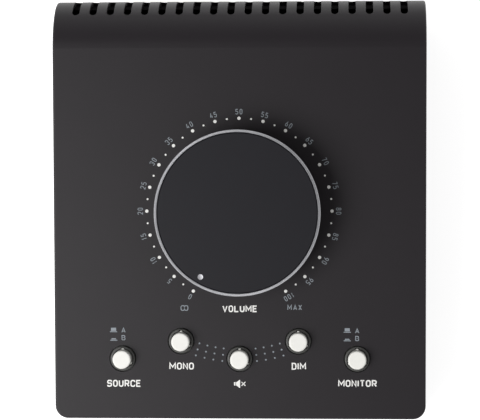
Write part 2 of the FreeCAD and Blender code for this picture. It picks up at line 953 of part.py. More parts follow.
def make_pot_parts():
    """Potentiometer: plate with threaded bushing, case, shaft with rotor, legs, washer and nut."""
    plate_top = -d.shell_wall
    plate_low = plate_top - d.pot_plate
    bore = d.shaft_radius + d.running_clearance
    plate = make_body("pot_plate_blank")
    block(plate, "plate", d.pot_side, d.pot_side, plate_low, plate_top)
    disc(plate, "bushing", d.bushing_radius, plate_top, d.bushing_top)
    disc(plate, "locating_pin", d.locating_pin_radius, plate_top, ZERO, d.locating_pin_orbit)
    disc(plate, "bushing_bore", bore, plate_low, d.bushing_top, kind="Pocket")
    node(put_on_panel(plate), "pot_bushing_plate")

    case_low = plate_low - d.pot_case_depth
    cavity_low = case_low + d.pot_case_wall
    cavity_radius = d.rotor_radius + d.rotor_gap
    case = make_body("pot_case_blank")
    block(case, "case", d.pot_side, d.pot_side, case_low, plate_low)
    disc(case, "case_cavity", cavity_radius, cavity_low, plate_low, kind="Pocket")
    node(put_on_panel(case), "pot_case")

    shaft = make_body("pot_shaft_blank")
    rotor_high = plate_low - d.part_clearance
    rotor_low = cavity_low + d.part_clearance
    shaft_top = knob_top_under - d.part_clearance
    revolve(
        shaft,
        "shaft_turn",
        [
            (ZERO, rotor_low),
            (d.rotor_radius, rotor_low),
            (d.rotor_radius, rotor_high),
            (d.shaft_radius, rotor_high),
            (d.shaft_radius, shaft_top),
            (ZERO, shaft_top),
        ],
    )
    block(
        shaft,
        "shaft_flat",
        d.shaft_radius,
        d.shaft_radius * 3,
        d.hub_bottom - d.part_clearance,
        shaft_top + d.part_clearance,
        d.shaft_flat + d.shaft_radius / 2,
        kind="Pocket",
    )
    node(put_on_panel(shaft), "pot_shaft")

    washer = make_body("pot_washer_blank")
    disc(washer, "washer", d.pot_washer_radius, ZERO, d.pot_washer_height)
    washer_bore = d.bushing_radius + d.hole_clearance
    disc(washer, "washer_bore", washer_bore, ZERO, d.pot_washer_height, kind="Pocket")
    node(put_on_panel(washer), "pot_washer")

    nut = make_body("pot_nut_blank")
    nut_high = d.pot_washer_height + d.pot_nut_height
    hexagon(nut, "nut", d.pot_nut_flats, d.pot_washer_height, nut_high)
    nut_bore = d.bushing_radius + d.close_fit
    disc(nut, "nut_bore", nut_bore, d.pot_washer_height, nut_high, kind="Pocket")
    node(put_on_panel(nut), "pot_nut")


# Legs of the two gangs, bent down into the control board: their depth below the plate, and how far
# they reach out of the case.
LEG_ROWS = (
    (d.upper_leg_depth, d.upper_leg_reach),
    (d.lower_leg_depth, d.lower_leg_reach),
)
leg_end = board_bottom - d.leg_stub
leg_spots = [
    (step * d.leg_pitch, -(d.pot_side / 2 + reach))
    for _, reach in LEG_ROWS
    for step in (-1, 0, 1)
]


def make_pot_legs():
    """Six flat legs: out of the case's front side, then down through the board."""
    plate_low = -d.shell_wall - d.pot_plate
    solids = []
    for depth, reach in LEG_ROWS:
        height = plate_low - depth
        for step in (-1, 0, 1):
            left = step * d.leg_pitch - d.leg_width / 2
            face = -d.pot_side / 2
            out = face - reach - d.leg_thickness / 2
            level = Part.makeBox(
                d.leg_width.value,
                (face - out).value,
                d.leg_thickness.value,
                vector(left, out, height - d.leg_thickness),
            )
            fall = Part.makeBox(
                d.leg_width.value,
                d.leg_thickness.value,
                (height - leg_end).value,
                vector(left, out, leg_end),
            )
            solids.append(level.fuse(fall).removeSplitter().Solids[0])
    group = doc.addObject("Part::Feature", "pot_legs")
    group.Shape = Part.makeCompound(solids)
    node(put_on_panel(group), "pot_legs")


def make_buttons():
    """Each button: a white cap with three guide ribs, pressed on its switch's square plunger."""
    fit = d.close_fit
    for name, (u, v) in BUTTONS.items():
        cap = make_body(f"{name}_cap_blank")
        top = d.cap_proud
        edge = d.cap_edge
        revolve(
            cap,
            f"{name}_cap_turn",
            [
                (ZERO, -d.cap_skirt),
                (d.cap_radius, -d.cap_skirt),
                (d.cap_radius, top - edge),
                (d.cap_radius - edge, top),
                (ZERO, top),
            ],
            {2: (edge, True)},
        )
        rib_reach = d.rib_radius - d.cap_radius / 2
        rib_middle = d.cap_radius / 2 + rib_reach / 2
        rib = block(
            cap,
            f"{name}_rib",
            d.rib_width,
            rib_reach,
            -d.cap_skirt,
            d.rib_top,
            ZERO,
            rib_middle,
        )
        repeat_round(cap, f"{name}_ribs", [rib], 3)
        socket_side = d.plunger_side + fit * 2
        socket_top = d.plunger_top + fit
        block(
            cap,
            f"{name}_socket",
            socket_side,
            socket_side,
            -d.cap_skirt,
            socket_top,
            kind="Pocket",
        )
        node(put_on_panel(cap, u, v), f"{name}_button_cap")

        plunger = make_body(f"{name}_plunger_blank")
        side = d.plunger_side
        foot = d.plunger_foot_side
        pin_low = plunger_foot_bottom - d.spring_pin_length
        block(plunger, f"{name}_stem", side, side, plunger_foot_top, d.plunger_top)
        block(plunger, f"{name}_foot", foot, foot, plunger_foot_bottom, plunger_foot_top)
        disc(plunger, f"{name}_pin", d.spring_pin_radius, pin_low, plunger_foot_bottom)
        node(put_on_panel(plunger, u, v), f"{name}_switch_plunger")


def spring_shape():
    """Coil spring round the panel's normal: quarter turns of a helix, each made of two arcs that
    share their tangents, with a round wire carried along them."""
    radius = d.spring_radius.value
    wire = d.spring_wire.value
    low = (board_top + d.switch_base).value + wire / 2 + d.spring_gap.value
    high = plunger_foot_bottom.value - wire / 2 - d.spring_gap.value
    turns = int(d.spring_turns.value)
    steps = turns * 4
    rise = (high - low) / (turns * 2 * math.pi)

    def point(angle):
        return Vector(radius * math.cos(angle), radius * math.sin(angle), low + rise * angle)

    def tangent(angle):
        return Vector(-radius * math.sin(angle), radius * math.cos(angle), rise).normalize()

    def arc(start, corner, finish):
        middle = (start + finish) * 0.5
        half_chord = (finish - start).Length / 2
        height = (corner - middle).Length
        bulge = half_chord * math.tan(math.atan2(height, half_chord) / 2)
        return Part.Arc(start, middle + (corner - middle) * (bulge / height), finish).toShape()

    edges = []
    for step in range(steps):
        first = step * math.pi / 2
        second = first + math.pi / 2
        here, there = point(first), point(second)
        leave, arrive = tangent(first), tangent(second)
        across = there - here
        bend = 2 * (leave.dot(arrive) - 1)
        lean = across.dot(leave + arrive)
        reach = (lean - math.sqrt(lean * lean - bend * across.dot(across))) / bend
        near = here + leave * reach
        far = there - arrive * reach
        join = (near + far) * 0.5
        edges += [arc(here, near, join), arc(join, far, there)]
    section = Part.Wire(Part.Circle(point(0), tangent(0), wire / 2).toShape())
    coil = Part.Wire(edges).makePipeShell([section], True, False)
    return coil if coil.ShapeType == "Solid" else coil.Solids[0]


def make_springs():
    """A return spring under each plunger."""
    coil = spring_shape()
    for name, (u, v) in BUTTONS.items():
        spring = doc.addObject("Part::Feature", f"{name}_return_spring")
        spring.Shape = coil.copy()
        node(put_on_panel(spring, u, v), f"{name}_return_spring")


SWITCH_PINS = [
    (side * d.switch_pin_rows / 2, step * d.switch_pin_pitch)
    for side in (-1, 1)
    for step in (-1, 0, 1)
]


def make_switch_parts():
    """Guide rings in the panel, and the switches' housings and pinned bases on the board."""
    places = list(BUTTONS.values())
    bezel = make_body("bezel_blank")
    low = switch_top
    flange_top = -d.shell_wall
    flange_low = flange_top - d.bezel_flange
    edge = d.bezel_edge
    high = d.bezel_proud
    revolve(
        bezel,
        "bezel_turn",
        [
            (d.bezel_bore_radius, low),
            (d.bezel_radius, low),
            (d.bezel_radius, flange_low),
            (d.bezel_flange_radius, flange_low),
            (d.bezel_flange_radius, flange_top),
            (d.bezel_radius, flange_top),
            (d.bezel_radius, high - edge),
            (d.bezel_radius - edge, high),
            (d.bezel_bore_radius, high),
        ],
        {6: (edge, True)},
    )
    notch_radius = d.rib_radius + d.part_clearance
    notch_width = d.rib_width + d.part_clearance * 2
    notch = block(
        bezel,
        "notch",
        notch_width,
        notch_radius - d.cap_radius / 2,
        low,
        high,
        ZERO,
        (notch_radius + d.cap_radius / 2) / 2,
        kind="Pocket",
    )
    repeat_round(bezel, "notches", [notch], 3)
    copies("button_bezels", bezel, upright_spots(places), put_on_panel)

    housing = make_body("switch_housing_blank")
    bore = d.switch_bore_side
    roof = switch_top - d.switch_roof
    window = d.plunger_side + d.part_clearance * 2
    block(housing, "switch_outside", d.switch_side, d.switch_side, board_top, switch_top)
    block(housing, "switch_inside", bore, bore, board_top, roof, kind="Pocket")
    block(housing, "switch_window", window, window, roof, switch_top, kind="Pocket")
    copies("switch_housings", housing, upright_spots(places), put_on_panel)

    base = make_body("switch_base_blank")
    side = bore - d.plug_clearance * 2
    block(base, "switch_floor", side, side, board_top, board_top + d.switch_base)
    for index, (u, v) in enumerate(SWITCH_PINS):
        pin_low = board_top - d.switch_pin_length
        disc(base, f"switch_pin_{index}", d.switch_pin_radius, pin_low, board_top, u, v)
    copies("switch_bases", base, upright_spots(places), put_on_panel)


STANDOFFS = [
    (side * d.standoff_side, v) for side in (-1, 1) for v in (-d.standoff_front, d.standoff_rear)
]


def make_control_board():
    """Control board under the panel, on standoffs welded to it, with drillings for every pin."""
    body = make_body("control_board_blank")
    length = d.board_front + d.board_rear
    middle = (d.board_rear - d.board_front) / 2
    width = d.board_half_width * 2
    block(body, "control_sheet", width, length, board_bottom, board_top, ZERO, middle)
    pin_hole = d.switch_pin_radius + d.hole_clearance
    screw_hole = d.thread_radius + d.hole_clearance
    leg_hole = d.leg_width / 2 + d.hole_clearance
    depth = d.board_thickness * 3
    above = board_top + d.board_thickness
    spots = [(u, v, screw_hole) for u, v in STANDOFFS]
    spots += [(u, v, leg_hole) for u, v in leg_spots]
    for u, v in BUTTONS.values():
        spots += [(u + pin_u, v + pin_v, pin_hole) for pin_u, pin_v in SWITCH_PINS]
    tool = drillings(
        "control_drillings",
        [((u, v, above), (0, 0, -1), depth, radius, radius) for u, v, radius in spots],
    )
    board = cut("control_board", body, tool)
    put_on_panel(board)

    standoff = make_body("standoff_blank")
    hexagon(standoff, "standoff_hex", d.standoff_flats, board_top, -d.shell_wall)
    tap_top = board_top + d.board_screw_length
    disc(standoff, "standoff_tap", thread_bore, board_top, tap_top, kind="Pocket")
    copies("panel_standoffs", standoff, upright_spots(STANDOFFS), put_on_panel)

    head = d.pan_head_radius
    shank = d.thread_radius
    length = d.board_screw_length - 1
    screw = make_screw(
        "pan_screw",
        [
            (ZERO, -(d.pan_head_height + length + d.board_thickness)),
            (shank, -(d.pan_head_height + length + d.board_thickness)),
            (shank, -d.pan_head_height),
            (head, -d.pan_head_height),
            (head, -d.pan_head_height / 2),
            (head - d.pan_head_height / 2, ZERO),
            (ZERO, ZERO),
        ],
    )
    head_top = board_bottom - d.pan_head_height
    spots = [((u, v, head_top), Rotation(X_AXIS, 180)) for u, v in STANDOFFS]
    copies("board_screws", screw, spots, put_on_panel)


def make_resistors():
    """A row of axial resistors lying on the control board, their flat leads bent down to it."""
    reach = d.resistor_lead_reach
    lead = d.resistor_lead_radius * 2
    height = board_top + d.resistor_radius
    half = d.resistor_length / 2
    solids = []
    for step in range(-5, 6):
        u = step * d.resistor_pitch
        v = -d.resistor_row
        start = vector(u, v - half, height)
        barrel = Part.makeCylinder(
            d.resistor_radius.value, d.resistor_length.value, start, Vector(0, 1, 0)
        )
        left = u - lead / 2
        level = Part.makeBox(
            lead.value,
            (reach * 2).value,
            lead.value,
            vector(left, v - reach, height - lead / 2),
        )
        piece = barrel.fuse(level)
        for near in (v - reach, v + reach - lead):
            fall = Part.makeBox(
                lead.value, lead.value, d.resistor_radius.value, vector(left, near, board_top)
            )
            piece = piece.fuse(fall)
        solids.append(piece.removeSplitter().Solids[0])
    group = doc.addObject("Part::Feature", "resistors")
    group.Shape = Part.makeCompound(solids)
    node(put_on_panel(group), "board_resistors")


JACK_PINS = [(ZERO, d.jack_pin_spread), (-d.jack_pin_spread, ZERO), (d.jack_pin_spread, ZERO)]


def make_jacks():
    """Eight large jacks in two rows and one small jack between them, clamped by their nuts."""
    front = -d.chassis_wall
    nose = d.jack_nose_length
    jack = make_body("jack_blank")
    block(jack, "jack_block", d.jack_width, d.jack_tall, jack_back, front)
    disc(jack, "jack_nose", d.jack_nose_radius, front, nose)
    bore_low = jack_back + d.jack_back_wall
    disc(jack, "jack_bore", d.jack_bore_radius, bore_low, nose, kind="Pocket")
    spots = upright_spots(JACKS)
    copies("jack_bodies", jack, spots, put_at_rear)

    washer = make_body("jack_washer_blank")
    disc(washer, "jack_washer", d.jack_washer_radius, ZERO, d.jack_washer_height)
    hole = d.jack_nose_radius + d.hole_clearance
    disc(washer, "jack_washer_bore", hole, ZERO, d.jack_washer_height, kind="Pocket")
    copies("jack_washers", washer, spots, put_at_rear)

    nut = make_body("jack_nut_blank")
    nut_high = d.jack_washer_height + d.jack_nut_height
    hexagon(nut, "jack_nut", d.jack_nut_flats, d.jack_washer_height, nut_high)
    nut_bore = d.jack_nose_radius + d.close_fit
    disc(nut, "jack_nut_bore", nut_bore, d.jack_washer_height, nut_high, kind="Pocket")
    copies("jack_nuts", nut, spots, put_at_rear)

    pin = make_body("jack_pin_blank")
    disc(pin, "jack_pin", d.jack_pin_radius, jack_back - d.jack_pin_length, jack_back)
    pin_places = [(x + pin_x, z + pin_z) for x, z in JACKS for pin_x, pin_z in JACK_PINS]
    copies("jack_terminals", pin, upright_spots(pin_places), put_at_rear)

    small = make_body("mini_jack_blank")
    small_back = front - d.mini_depth
    block(small, "mini_block", d.mini_side, d.mini_side, small_back, front)
    disc(small, "mini_nose", d.mini_nose_radius, front, d.mini_nose_length)
    small_low = small_back + d.mini_back_wall
    disc(small, "mini_bore", d.mini_bore_radius, small_low, d.mini_nose_length, kind="Pocket")
    node(put_at_rear(small, ZERO, d.mini_row), "mini_jack_body")

    ring = make_body("mini_nut_blank")
    disc(ring, "mini_nut", d.mini_nut_radius, ZERO, d.mini_nut_height)
    ring_bore = d.mini_nose_radius + d.close_fit
    disc(ring, "mini_nut_bore", ring_bore, ZERO, d.mini_nut_height, kind="Pocket")
    node(put_at_rear(ring, ZERO, d.mini_row), "mini_jack_nut")

    board = make_body("jack_board_blank")
    low = d.foot_height + d.chassis_wall + d.jack_board_margin
    high = d.jack_upper_row + d.jack_tall / 2
    block(
        board,
        "jack_sheet",
        d.jack_board_half_width * 2,
        high - low,
        jack_board_front,
        jack_back,
        ZERO,
        (high + low) / 2,
    )
    hole = d.jack_pin_radius + d.hole_clearance
    tool = drillings(
        "jack_board_drillings",
        [
            ((x, z, jack_back + 1), (0, 0, -1), d.board_thickness + 2, hole, hole)
            for x, z in pin_places
        ],
    )
    put_at_rear(cut("jack_board", board, tool))


def make_ribbon():
    """Flat ribbon cable from under the control board, bent rearwards to the jack board, with a
    shrouded header and a plug at each end."""
    height = d.header_height
    header = make_body("header_blank")
    block(header, "header_block", d.header_length, d.header_width, ZERO, height)
    well_x = d.header_length - d.header_wall * 2
    well_y = d.header_width - d.header_wall * 2
    block(header, "header_well", well_x, well_y, d.header_floor, height, kind="Pocket")
    plug = make_body("plug_blank")
    plug_x = well_x - d.plug_clearance * 2
    plug_y = well_y - d.plug_clearance * 2
    plug_high = d.header_floor + d.plug_height
    block(plug, "plug_block", plug_x, plug_y, d.header_floor, plug_high)

    # Both frames are the world: the first pair hangs under the control board, the second pair
    # points forward off the jack board at the height where the ribbon arrives.
    start_v = d.header_offset
    start_w = board_bottom - plug_high
    drop = d.ribbon_drop
    bend = d.ribbon_bend
    thick = d.ribbon_thickness / 2
    start_y = dial_y + start_v * slope_cos - start_w * slope_sin
    start_z = dial_z + start_v * slope_sin + start_w * slope_cos
    bend_y = start_y + drop * slope_sin
    bend_z = start_z - drop * slope_cos
    centre_y = bend_y + bend * slope_cos
    centre_z = bend_z + bend * slope_sin
    run_z = centre_z - bend
    board_face_y = upright_y + jack_board_front
    run_end_y = board_face_y - plug_high

    board_y = dial_y + start_v * slope_cos - board_bottom * slope_sin
    board_z = dial_z + start_v * slope_sin + board_bottom * slope_cos
    down = Rotation(X_AXIS, d.panel_slope.value + 180)
    forward = Rotation(X_AXIS, 90)
    spots = [((ZERO, board_y, board_z), down), ((ZERO, board_face_y, run_z), forward)]
    copies("ribbon_headers", header, spots, in_world)
    copies("ribbon_plugs", plug, spots, in_world)

    body = make_body("ribbon_blank")
    outline = make_sketch(body, "ribbon_outline", "YZ_Plane")
    draw_outline(
        outline,
        [
            (start_y - thick * slope_cos, start_z - thick * slope_sin),
            (bend_y - thick * slope_cos, bend_z - thick * slope_sin),
            (centre_y, run_z - thick),
            (run_end_y, run_z - thick),
            (run_end_y, run_z + thick),
            (centre_y, run_z + thick),
            (bend_y + thick * slope_cos, bend_z + thick * slope_sin),
            (start_y + thick * slope_cos, start_z + thick * slope_sin),
        ],
        {1: (bend + thick, True), 5: (bend - thick, False)},
    )
    pad(body, "ribbon", outline, d.ribbon_width, midplane=True)
    node(body, "ribbon_cable")


make_top_shell()
make_base_chassis()
make_feet()
make_housing_screws()
make_knob()
make_trim_ring()
make_marker()
make_hub()
make_pot_parts()
make_pot_legs()
make_buttons()
make_springs()
make_switch_parts()
make_control_board()
make_resistors()
make_jacks()
make_ribbon()
doc.recompute()

broken = [
    thing.Label for thing in doc.Objects if "Invalid" in thing.State or "Error" in thing.State
]
broken += [thing.Label for thing in nodes if thing.Shape.isNull() or not thing.Shape.isValid()]
if broken:
    raise RuntimeError(f"these objects failed: {broken}")

# A cut that points away from its solid takes nothing off, and shows no error of its own.
idle = [
    thing.Name
    for thing in doc.Objects
    if thing.TypeId == "PartDesign::Pocket"
    and thing.BaseFeature.Shape.Volume - thing.Shape.Volume < MATCH
]
if idle:
    raise RuntimeError(f"these cuts took nothing off: {idle}")

# A pressed button stops on its bezel's own stroke: neither the spring pin nor the cap may bottom
# out before it.
spring_pin_room = plunger_foot_bottom - d.spring_pin_length - (board_top + d.switch_base)
cap_room = -d.cap_skirt - switch_top
if d.button_travel.value > min(spring_pin_room.value, cap_room.value):
    raise RuntimeError("a button bottoms out before the end of its travel")

os.makedirs("parts", exist_ok=True)
for thing in nodes:
    thing.Shape.exportStep(f"parts/{thing.Label}.step")
print(len(nodes), "nodes")
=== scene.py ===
import json
import math

import bmesh
import bpy
import numpy as np
from mathutils import Euler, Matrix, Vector


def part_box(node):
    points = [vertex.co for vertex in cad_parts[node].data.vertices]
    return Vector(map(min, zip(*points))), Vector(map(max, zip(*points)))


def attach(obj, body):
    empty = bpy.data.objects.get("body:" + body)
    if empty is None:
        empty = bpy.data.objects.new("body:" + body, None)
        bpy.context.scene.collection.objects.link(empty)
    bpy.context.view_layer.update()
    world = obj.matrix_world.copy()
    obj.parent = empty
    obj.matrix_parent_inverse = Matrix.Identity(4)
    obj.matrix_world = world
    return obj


bl_info = {
    "name": "Studio monitor controller looks",
    "version": (1, 0, 0),
    "blender": (4, 5, 0),
    "location": "View3D > Sidebar > Controller",
    "description": "Finishes, printed scale and stage for a desktop studio monitor controller",
    "category": "Object",
}

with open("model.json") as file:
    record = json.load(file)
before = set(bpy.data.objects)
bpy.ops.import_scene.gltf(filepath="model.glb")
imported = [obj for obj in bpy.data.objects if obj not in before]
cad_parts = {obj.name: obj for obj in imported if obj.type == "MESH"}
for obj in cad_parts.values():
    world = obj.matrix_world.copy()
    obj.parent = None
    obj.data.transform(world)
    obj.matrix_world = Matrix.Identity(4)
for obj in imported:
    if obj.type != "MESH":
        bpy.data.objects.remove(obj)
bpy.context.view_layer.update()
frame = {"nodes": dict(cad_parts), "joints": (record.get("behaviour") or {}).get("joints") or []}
nodes = frame["nodes"]

HOUSING = "housing"
MM = 0.001

# The panel's own directions come from the knob's joint: its axis points into the panel, and it is placed
# a joint's height off the panel, in millimetres.
dial_joint = next(joint for joint in frame["joints"] if joint["name"] == "volume_turn")
JOINT_HEIGHT = 10.0
OUT = -np.array(dial_joint["axis"], float)
ACROSS = np.array((1.0, 0.0, 0.0))
UPHILL = np.cross(OUT, ACROSS)
DIAL = np.array(dial_joint["pos_m"], float) - OUT * JOINT_HEIGHT * MM
PANEL = (DIAL, ACROSS, UPHILL, OUT)
SLOPE = math.atan2(UPHILL[2], UPHILL[1])

# Printed scale, in millimetres and degrees clockwise from the top of the dial.
SCALE_RADIUS = 33.28
SCALE_START = -150.0
SCALE_STEP = 7.5
SCALE_DOTS = 41
NUMBER_RADIUS = 35.65
NUMBER_HEIGHT = 1.95
NUMBER_WEIGHT = 0.24
THIN_WEIGHT = 0.3
BOLD_WEIGHT = 0.46
INK_HEIGHT = 0.03

WHITE_WORDS = (
    # word, across, uphill, width, height
    ("VOLUME", 0.1, -35.2, 12.6, 2.45),
    ("SOURCE", -41.9, -62.35, 12.3, 2.55),
    ("MONO", -21.0, -56.0, 8.9, 2.55),
    ("DIM", 21.35, -55.95, 5.2, 2.55),
    ("MONITOR", 42.42, -62.1, 13.9, 2.5),
)
GREY_WORDS = (
    ("MAX", 19.84, -34.68, 5.2, 2.0),
    ("A", -42.0, -43.0, 1.5, 1.85),
    ("B", -42.0, -45.75, 1.4, 1.85),
    ("A", 42.3, -43.1, 1.5, 1.85),
    ("B", 42.3, -45.85, 1.4, 1.85),
)
WORD_GAP = 0.13
# The sign for no level at all: two loops beside each other, in millimetres.
NO_LEVEL_PLACE = (-19.87, -34.95)
NO_LEVEL_APART = 0.62
NO_LEVEL_LOOP = (0.78, 1.0)

# Outlines of the small marks, in millimetres about each mark's own middle.
SPEAKER_PLACE = (-0.1, -62.4)
SPEAKER_BAR = ((-1.95, -0.62), (-1.45, -0.62), (-1.45, 0.62), (-1.95, 0.62))
SPEAKER_UPPER = ((0.25, 1.35), (0.05, 1.5), (-0.9, 0.7), (-1.2, 0.62))
CROSS_STROKE = ((-0.98, -0.17), (0.98, -0.17), (0.98, 0.17), (-0.98, 0.17))
CROSS_PLACE = (1.45, 0.0)
CROSS_TILTS = (45, -45)
MARK_BASE = ((-1.3, -0.55), (1.3, -0.55), (1.3, -0.25), (-1.3, -0.25))
MARK_RAISED = ((-0.95, -0.1), (0.95, -0.1), (0.9, 1.05), (-0.9, 1.05))
MARK_PRESSED = ((-0.95, -0.1), (0.95, -0.1), (0.7, 0.35), (-0.7, 0.35))
POSITION_MARKS = (
    # across, uphill, outline of the button on its base
    (-45.6, -43.2, MARK_RAISED),
    (-45.55, -46.3, MARK_PRESSED),
    (38.75, -43.2, MARK_RAISED),
    (38.75, -46.3, MARK_PRESSED),
)

# The fields of small dots lie on three arcs round the dial's middle, on both sides of the mute button.
FIELD_ARCS = (49.9, 52.2, 54.45)
FIELD_START = 6.6
FIELD_STEP = 3.43
FIELD_COLUMNS = 4
FIELD_DOT = 0.33

# Millimetres from the dial on the panel to the lens, and degrees about X, Y and Z.
CAMERA_REACH = (37.091, -53.4334, 716.6246)
CAMERA_TURN = (3.4764, 2.5157, 0.1661)
CAMERA_SHIFT = (-0.03, 0.06)
SENSOR_WIDTH = 36.0
VIEW_RANGE = (0.01, 50.0)

# Light and floor, in metres and shares of white.
KEY_PLACE = (-0.44, -0.27, 0.7)
KEY_SIDE = 0.48
# The room overhead is dim, as in a studio with its lights at the sides.
OVERHEAD = 0.16
OVERHEAD_FROM = 0.55
OVERHEAD_TO = 0.95
FLOOR_GLOW = 0.74
FLOOR_REACH = 6.0
WHITE = (1.0, 1.0, 1.0, 1.0)

# One wave of a wave texture at scale one, in metres.
WAVE_LENGTH = math.pi / 10


def linear(hex_colour, alpha=1.0):
    """Turns an sRGB hex value into the linear colour that a shader takes."""
    values = [int(hex_colour[i : i + 2], 16) / 255 for i in (1, 3, 5)]
    return (*[v / 12.92 if v <= 0.04045 else ((v + 0.055) / 1.055) ** 2.4 for v in values], alpha)


def colour_property(name, text, hex_colour):
    """One colour that a user may change."""
    return bpy.props.FloatVectorProperty(
        name=name, description=text, subtype="COLOR", size=4, min=0, max=1, default=linear(hex_colour)
    )


class ControllerFinish(bpy.types.PropertyGroup):
    """Colours of the finishes that show most."""

    coat: colour_property("Powder coat", "Colour of the housing's matt powder coat", "#151015")
    anodised: colour_property("Anodising", "Colour of the knob's dyed oxide", "#0b0a12")
    caps: colour_property("Button caps", "Colour of the moulded caps", "#eeede8")
    bezels: colour_property("Guide rings", "Colour of the rings round the caps", "#3d3d3b")
    bright: colour_property("Bright metal", "Colour of the turned ring and marker", "#a6a6aa")


class ControllerPrint(bpy.types.PropertyGroup):
    """Sizes and colours of what is printed on the panel."""

    white: colour_property("White ink", "Colour of the words and the dots", "#f2f1ee")
    grey: colour_property("Grey ink", "Colour of the numbers and marks", "#8a9198")
    main_dot: bpy.props.FloatProperty(
        name="Main dot",
        description="Radius of a numbered dot in millimetres",
        default=0.61,
        min=0.2,
        max=1.2,
    )
    half_dot: bpy.props.FloatProperty(
        name="Half dot",
        description="Radius of a dot between numbers in millimetres",
        default=0.36,
        min=0.1,
        max=1.2,
    )
    number: bpy.props.FloatProperty(
        name="Number height",
        description="Height of a scale number in millimetres",
        default=NUMBER_HEIGHT,
        min=1,
        max=3,
    )


class ControllerStage(bpy.types.PropertyGroup):
    """Light, floor and camera."""

    key: bpy.props.FloatProperty(
        name="Key lamp",
        description="Power of the soft lamp at the front left",
        default=5.5,
        min=0,
        unit="POWER",
    )
    fill: bpy.props.FloatProperty(
        name="Room light",
        description="Strength of the even light from all round",
        default=0.42,
        min=0,
        max=2,
    )
    floor: colour_property("Floor", "Colour of the floor", "#f0f0f0")
    lens: bpy.props.FloatProperty(
        name="Lens",
        description="Focal length of the camera",
        default=150.307,
        min=10,
        unit="CAMERA",
    )


def placed(plane, points):
    """Carries points from a plane to the object: its origin plus each direction times the point's part."""
    origin, right, up, out = plane
    return origin + MM * (points[..., :1] * right + points[..., 1:2] * up + points[..., 2:] * out)


def put(name, data):
    """A new object in the scene, in place of any older one of its name."""
    old = bpy.data.objects.get(name)
    if old:
        bpy.data.objects.remove(old)
    made = bpy.data.objects.new(name, data)
    bpy.context.scene.collection.objects.link(made)
    return made


def add_piece(name, parts, plane, material, body, smooth=False):
    """Joins (points, faces) parts into one mesh on a plane, which rides on a body.

    Seams are closed and faces turned outwards.
    """
    starts = np.cumsum([0] + [len(points) for points, _ in parts])
    points = placed(plane, np.concatenate([points for points, _ in parts]))
    faces = [[int(i + start) for i in face] for start, (_, group) in zip(starts, parts) for face in group]
    if not faces:
        raise RuntimeError(f"{name} has no faces")
    mesh = bpy.data.meshes.new(name)
    mesh.from_pydata(points.tolist(), [], faces)
    made = bmesh.new()
    made.from_mesh(mesh)
    bmesh.ops.remove_doubles(made, verts=made.verts, dist=1e-7)
    bmesh.ops.recalc_face_normals(made, faces=made.faces)
    made.to_mesh(mesh)
    made.free()
    mesh.polygons.foreach_set("use_smooth", np.full(len(mesh.polygons), smooth))
    mesh.materials.append(material)
    piece = put(name, mesh)
    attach(piece, body)
    return piece


def spots(centres, radii, height, turns=18, rings=4):
    """Low round spots of ink.

    Each point is a centre plus the radius times the cosine of its rise, at the height times its sine.
    """
    centres, radii = np.array(centres, float), np.array(radii, float)
    rise = np.linspace(0, math.pi / 2, rings, endpoint=False)
    turn = np.linspace(0, 2 * math.pi, turns, endpoint=False)
    circle = np.stack([np.cos(turn), np.sin(turn)], -1)
    flat = centres[:, None, None, :] + radii[:, None, None, None] * np.cos(rise)[:, None, None] * circle
    level = np.broadcast_to((height * np.sin(rise))[None, :, None], flat.shape[:3])
    points = np.concatenate([flat, level[..., None]], -1).reshape(-1, 3)
    tops = np.column_stack([centres, np.full(len(centres), height)])
    index = np.arange(len(points)).reshape(len(centres), rings, turns)
    ahead = np.roll(index, -1, 2)
    walls = np.stack([index[:, :-1], ahead[:, :-1], ahead[:, 1:], index[:, 1:]], -1).reshape(-1, 4)
    poles = np.broadcast_to((len(points) + np.arange(len(centres)))[:, None], index[:, -1].shape)
    crowns = np.stack([index[:, -1], ahead[:, -1], poles], -1).reshape(-1, 3)
    return np.vstack([points, tops]), walls.tolist() + crowns.tolist() + index[:, 0, ::-1].tolist()


def plate(outline, height):
    """A flat shape with straight sides: the outline as far below the plane as above it, at the height."""
    outline = np.array(outline, float)
    count = len(outline)
    levels = (-height, height)
    points = np.vstack([np.column_stack([outline, np.full(count, level)]) for level in levels])
    foot = np.arange(count)
    sides = np.stack([foot, np.roll(foot, -1), np.roll(foot, -1) + count, foot + count], -1)
    return points, sides.tolist() + [foot[::-1].tolist(), (foot + count).tolist()]


def loop(centre, half_width, half_height, stroke, height, turns=40, power=0.7):
    """A flat oval band between two rounded boxes.

    Each point is a power of the cosine and the sine of its turn, times the half width and half height.
    """
    turn = np.linspace(0, 2 * math.pi, turns, endpoint=False)
    shape = np.stack([np.sign(f) * np.abs(f) ** power for f in (np.cos(turn), np.sin(turn))], -1)
    size = np.array((half_width, half_height))
    corners = ((0, -height), (0, height), (stroke, height), (stroke, -height))
    rings = [
        np.column_stack([shape * (size - inset) + np.array(centre), np.full(turns, level)])
        for inset, level in corners
    ]
    points = np.vstack(rings)
    index = np.arange(len(points)).reshape(4, turns)
    far = np.roll(index, -1, 0)
    faces = np.stack([index, np.roll(index, -1, 1), np.roll(far, -1, 1), far], -1)
    return points, faces.reshape(-1, 4).tolist()


def turned(part, centre, angle=0.0):
    """Turns a flat part clockwise about its own middle and moves it to its place."""
    points, faces = part
    c, s = math.cos(math.radians(angle)), math.sin(math.radians(angle))
    flat = points[:, :2] @ np.array(((c, -s), (s, c))) + np.array(centre)
    return np.column_stack([flat, points[:, 2]]), faces


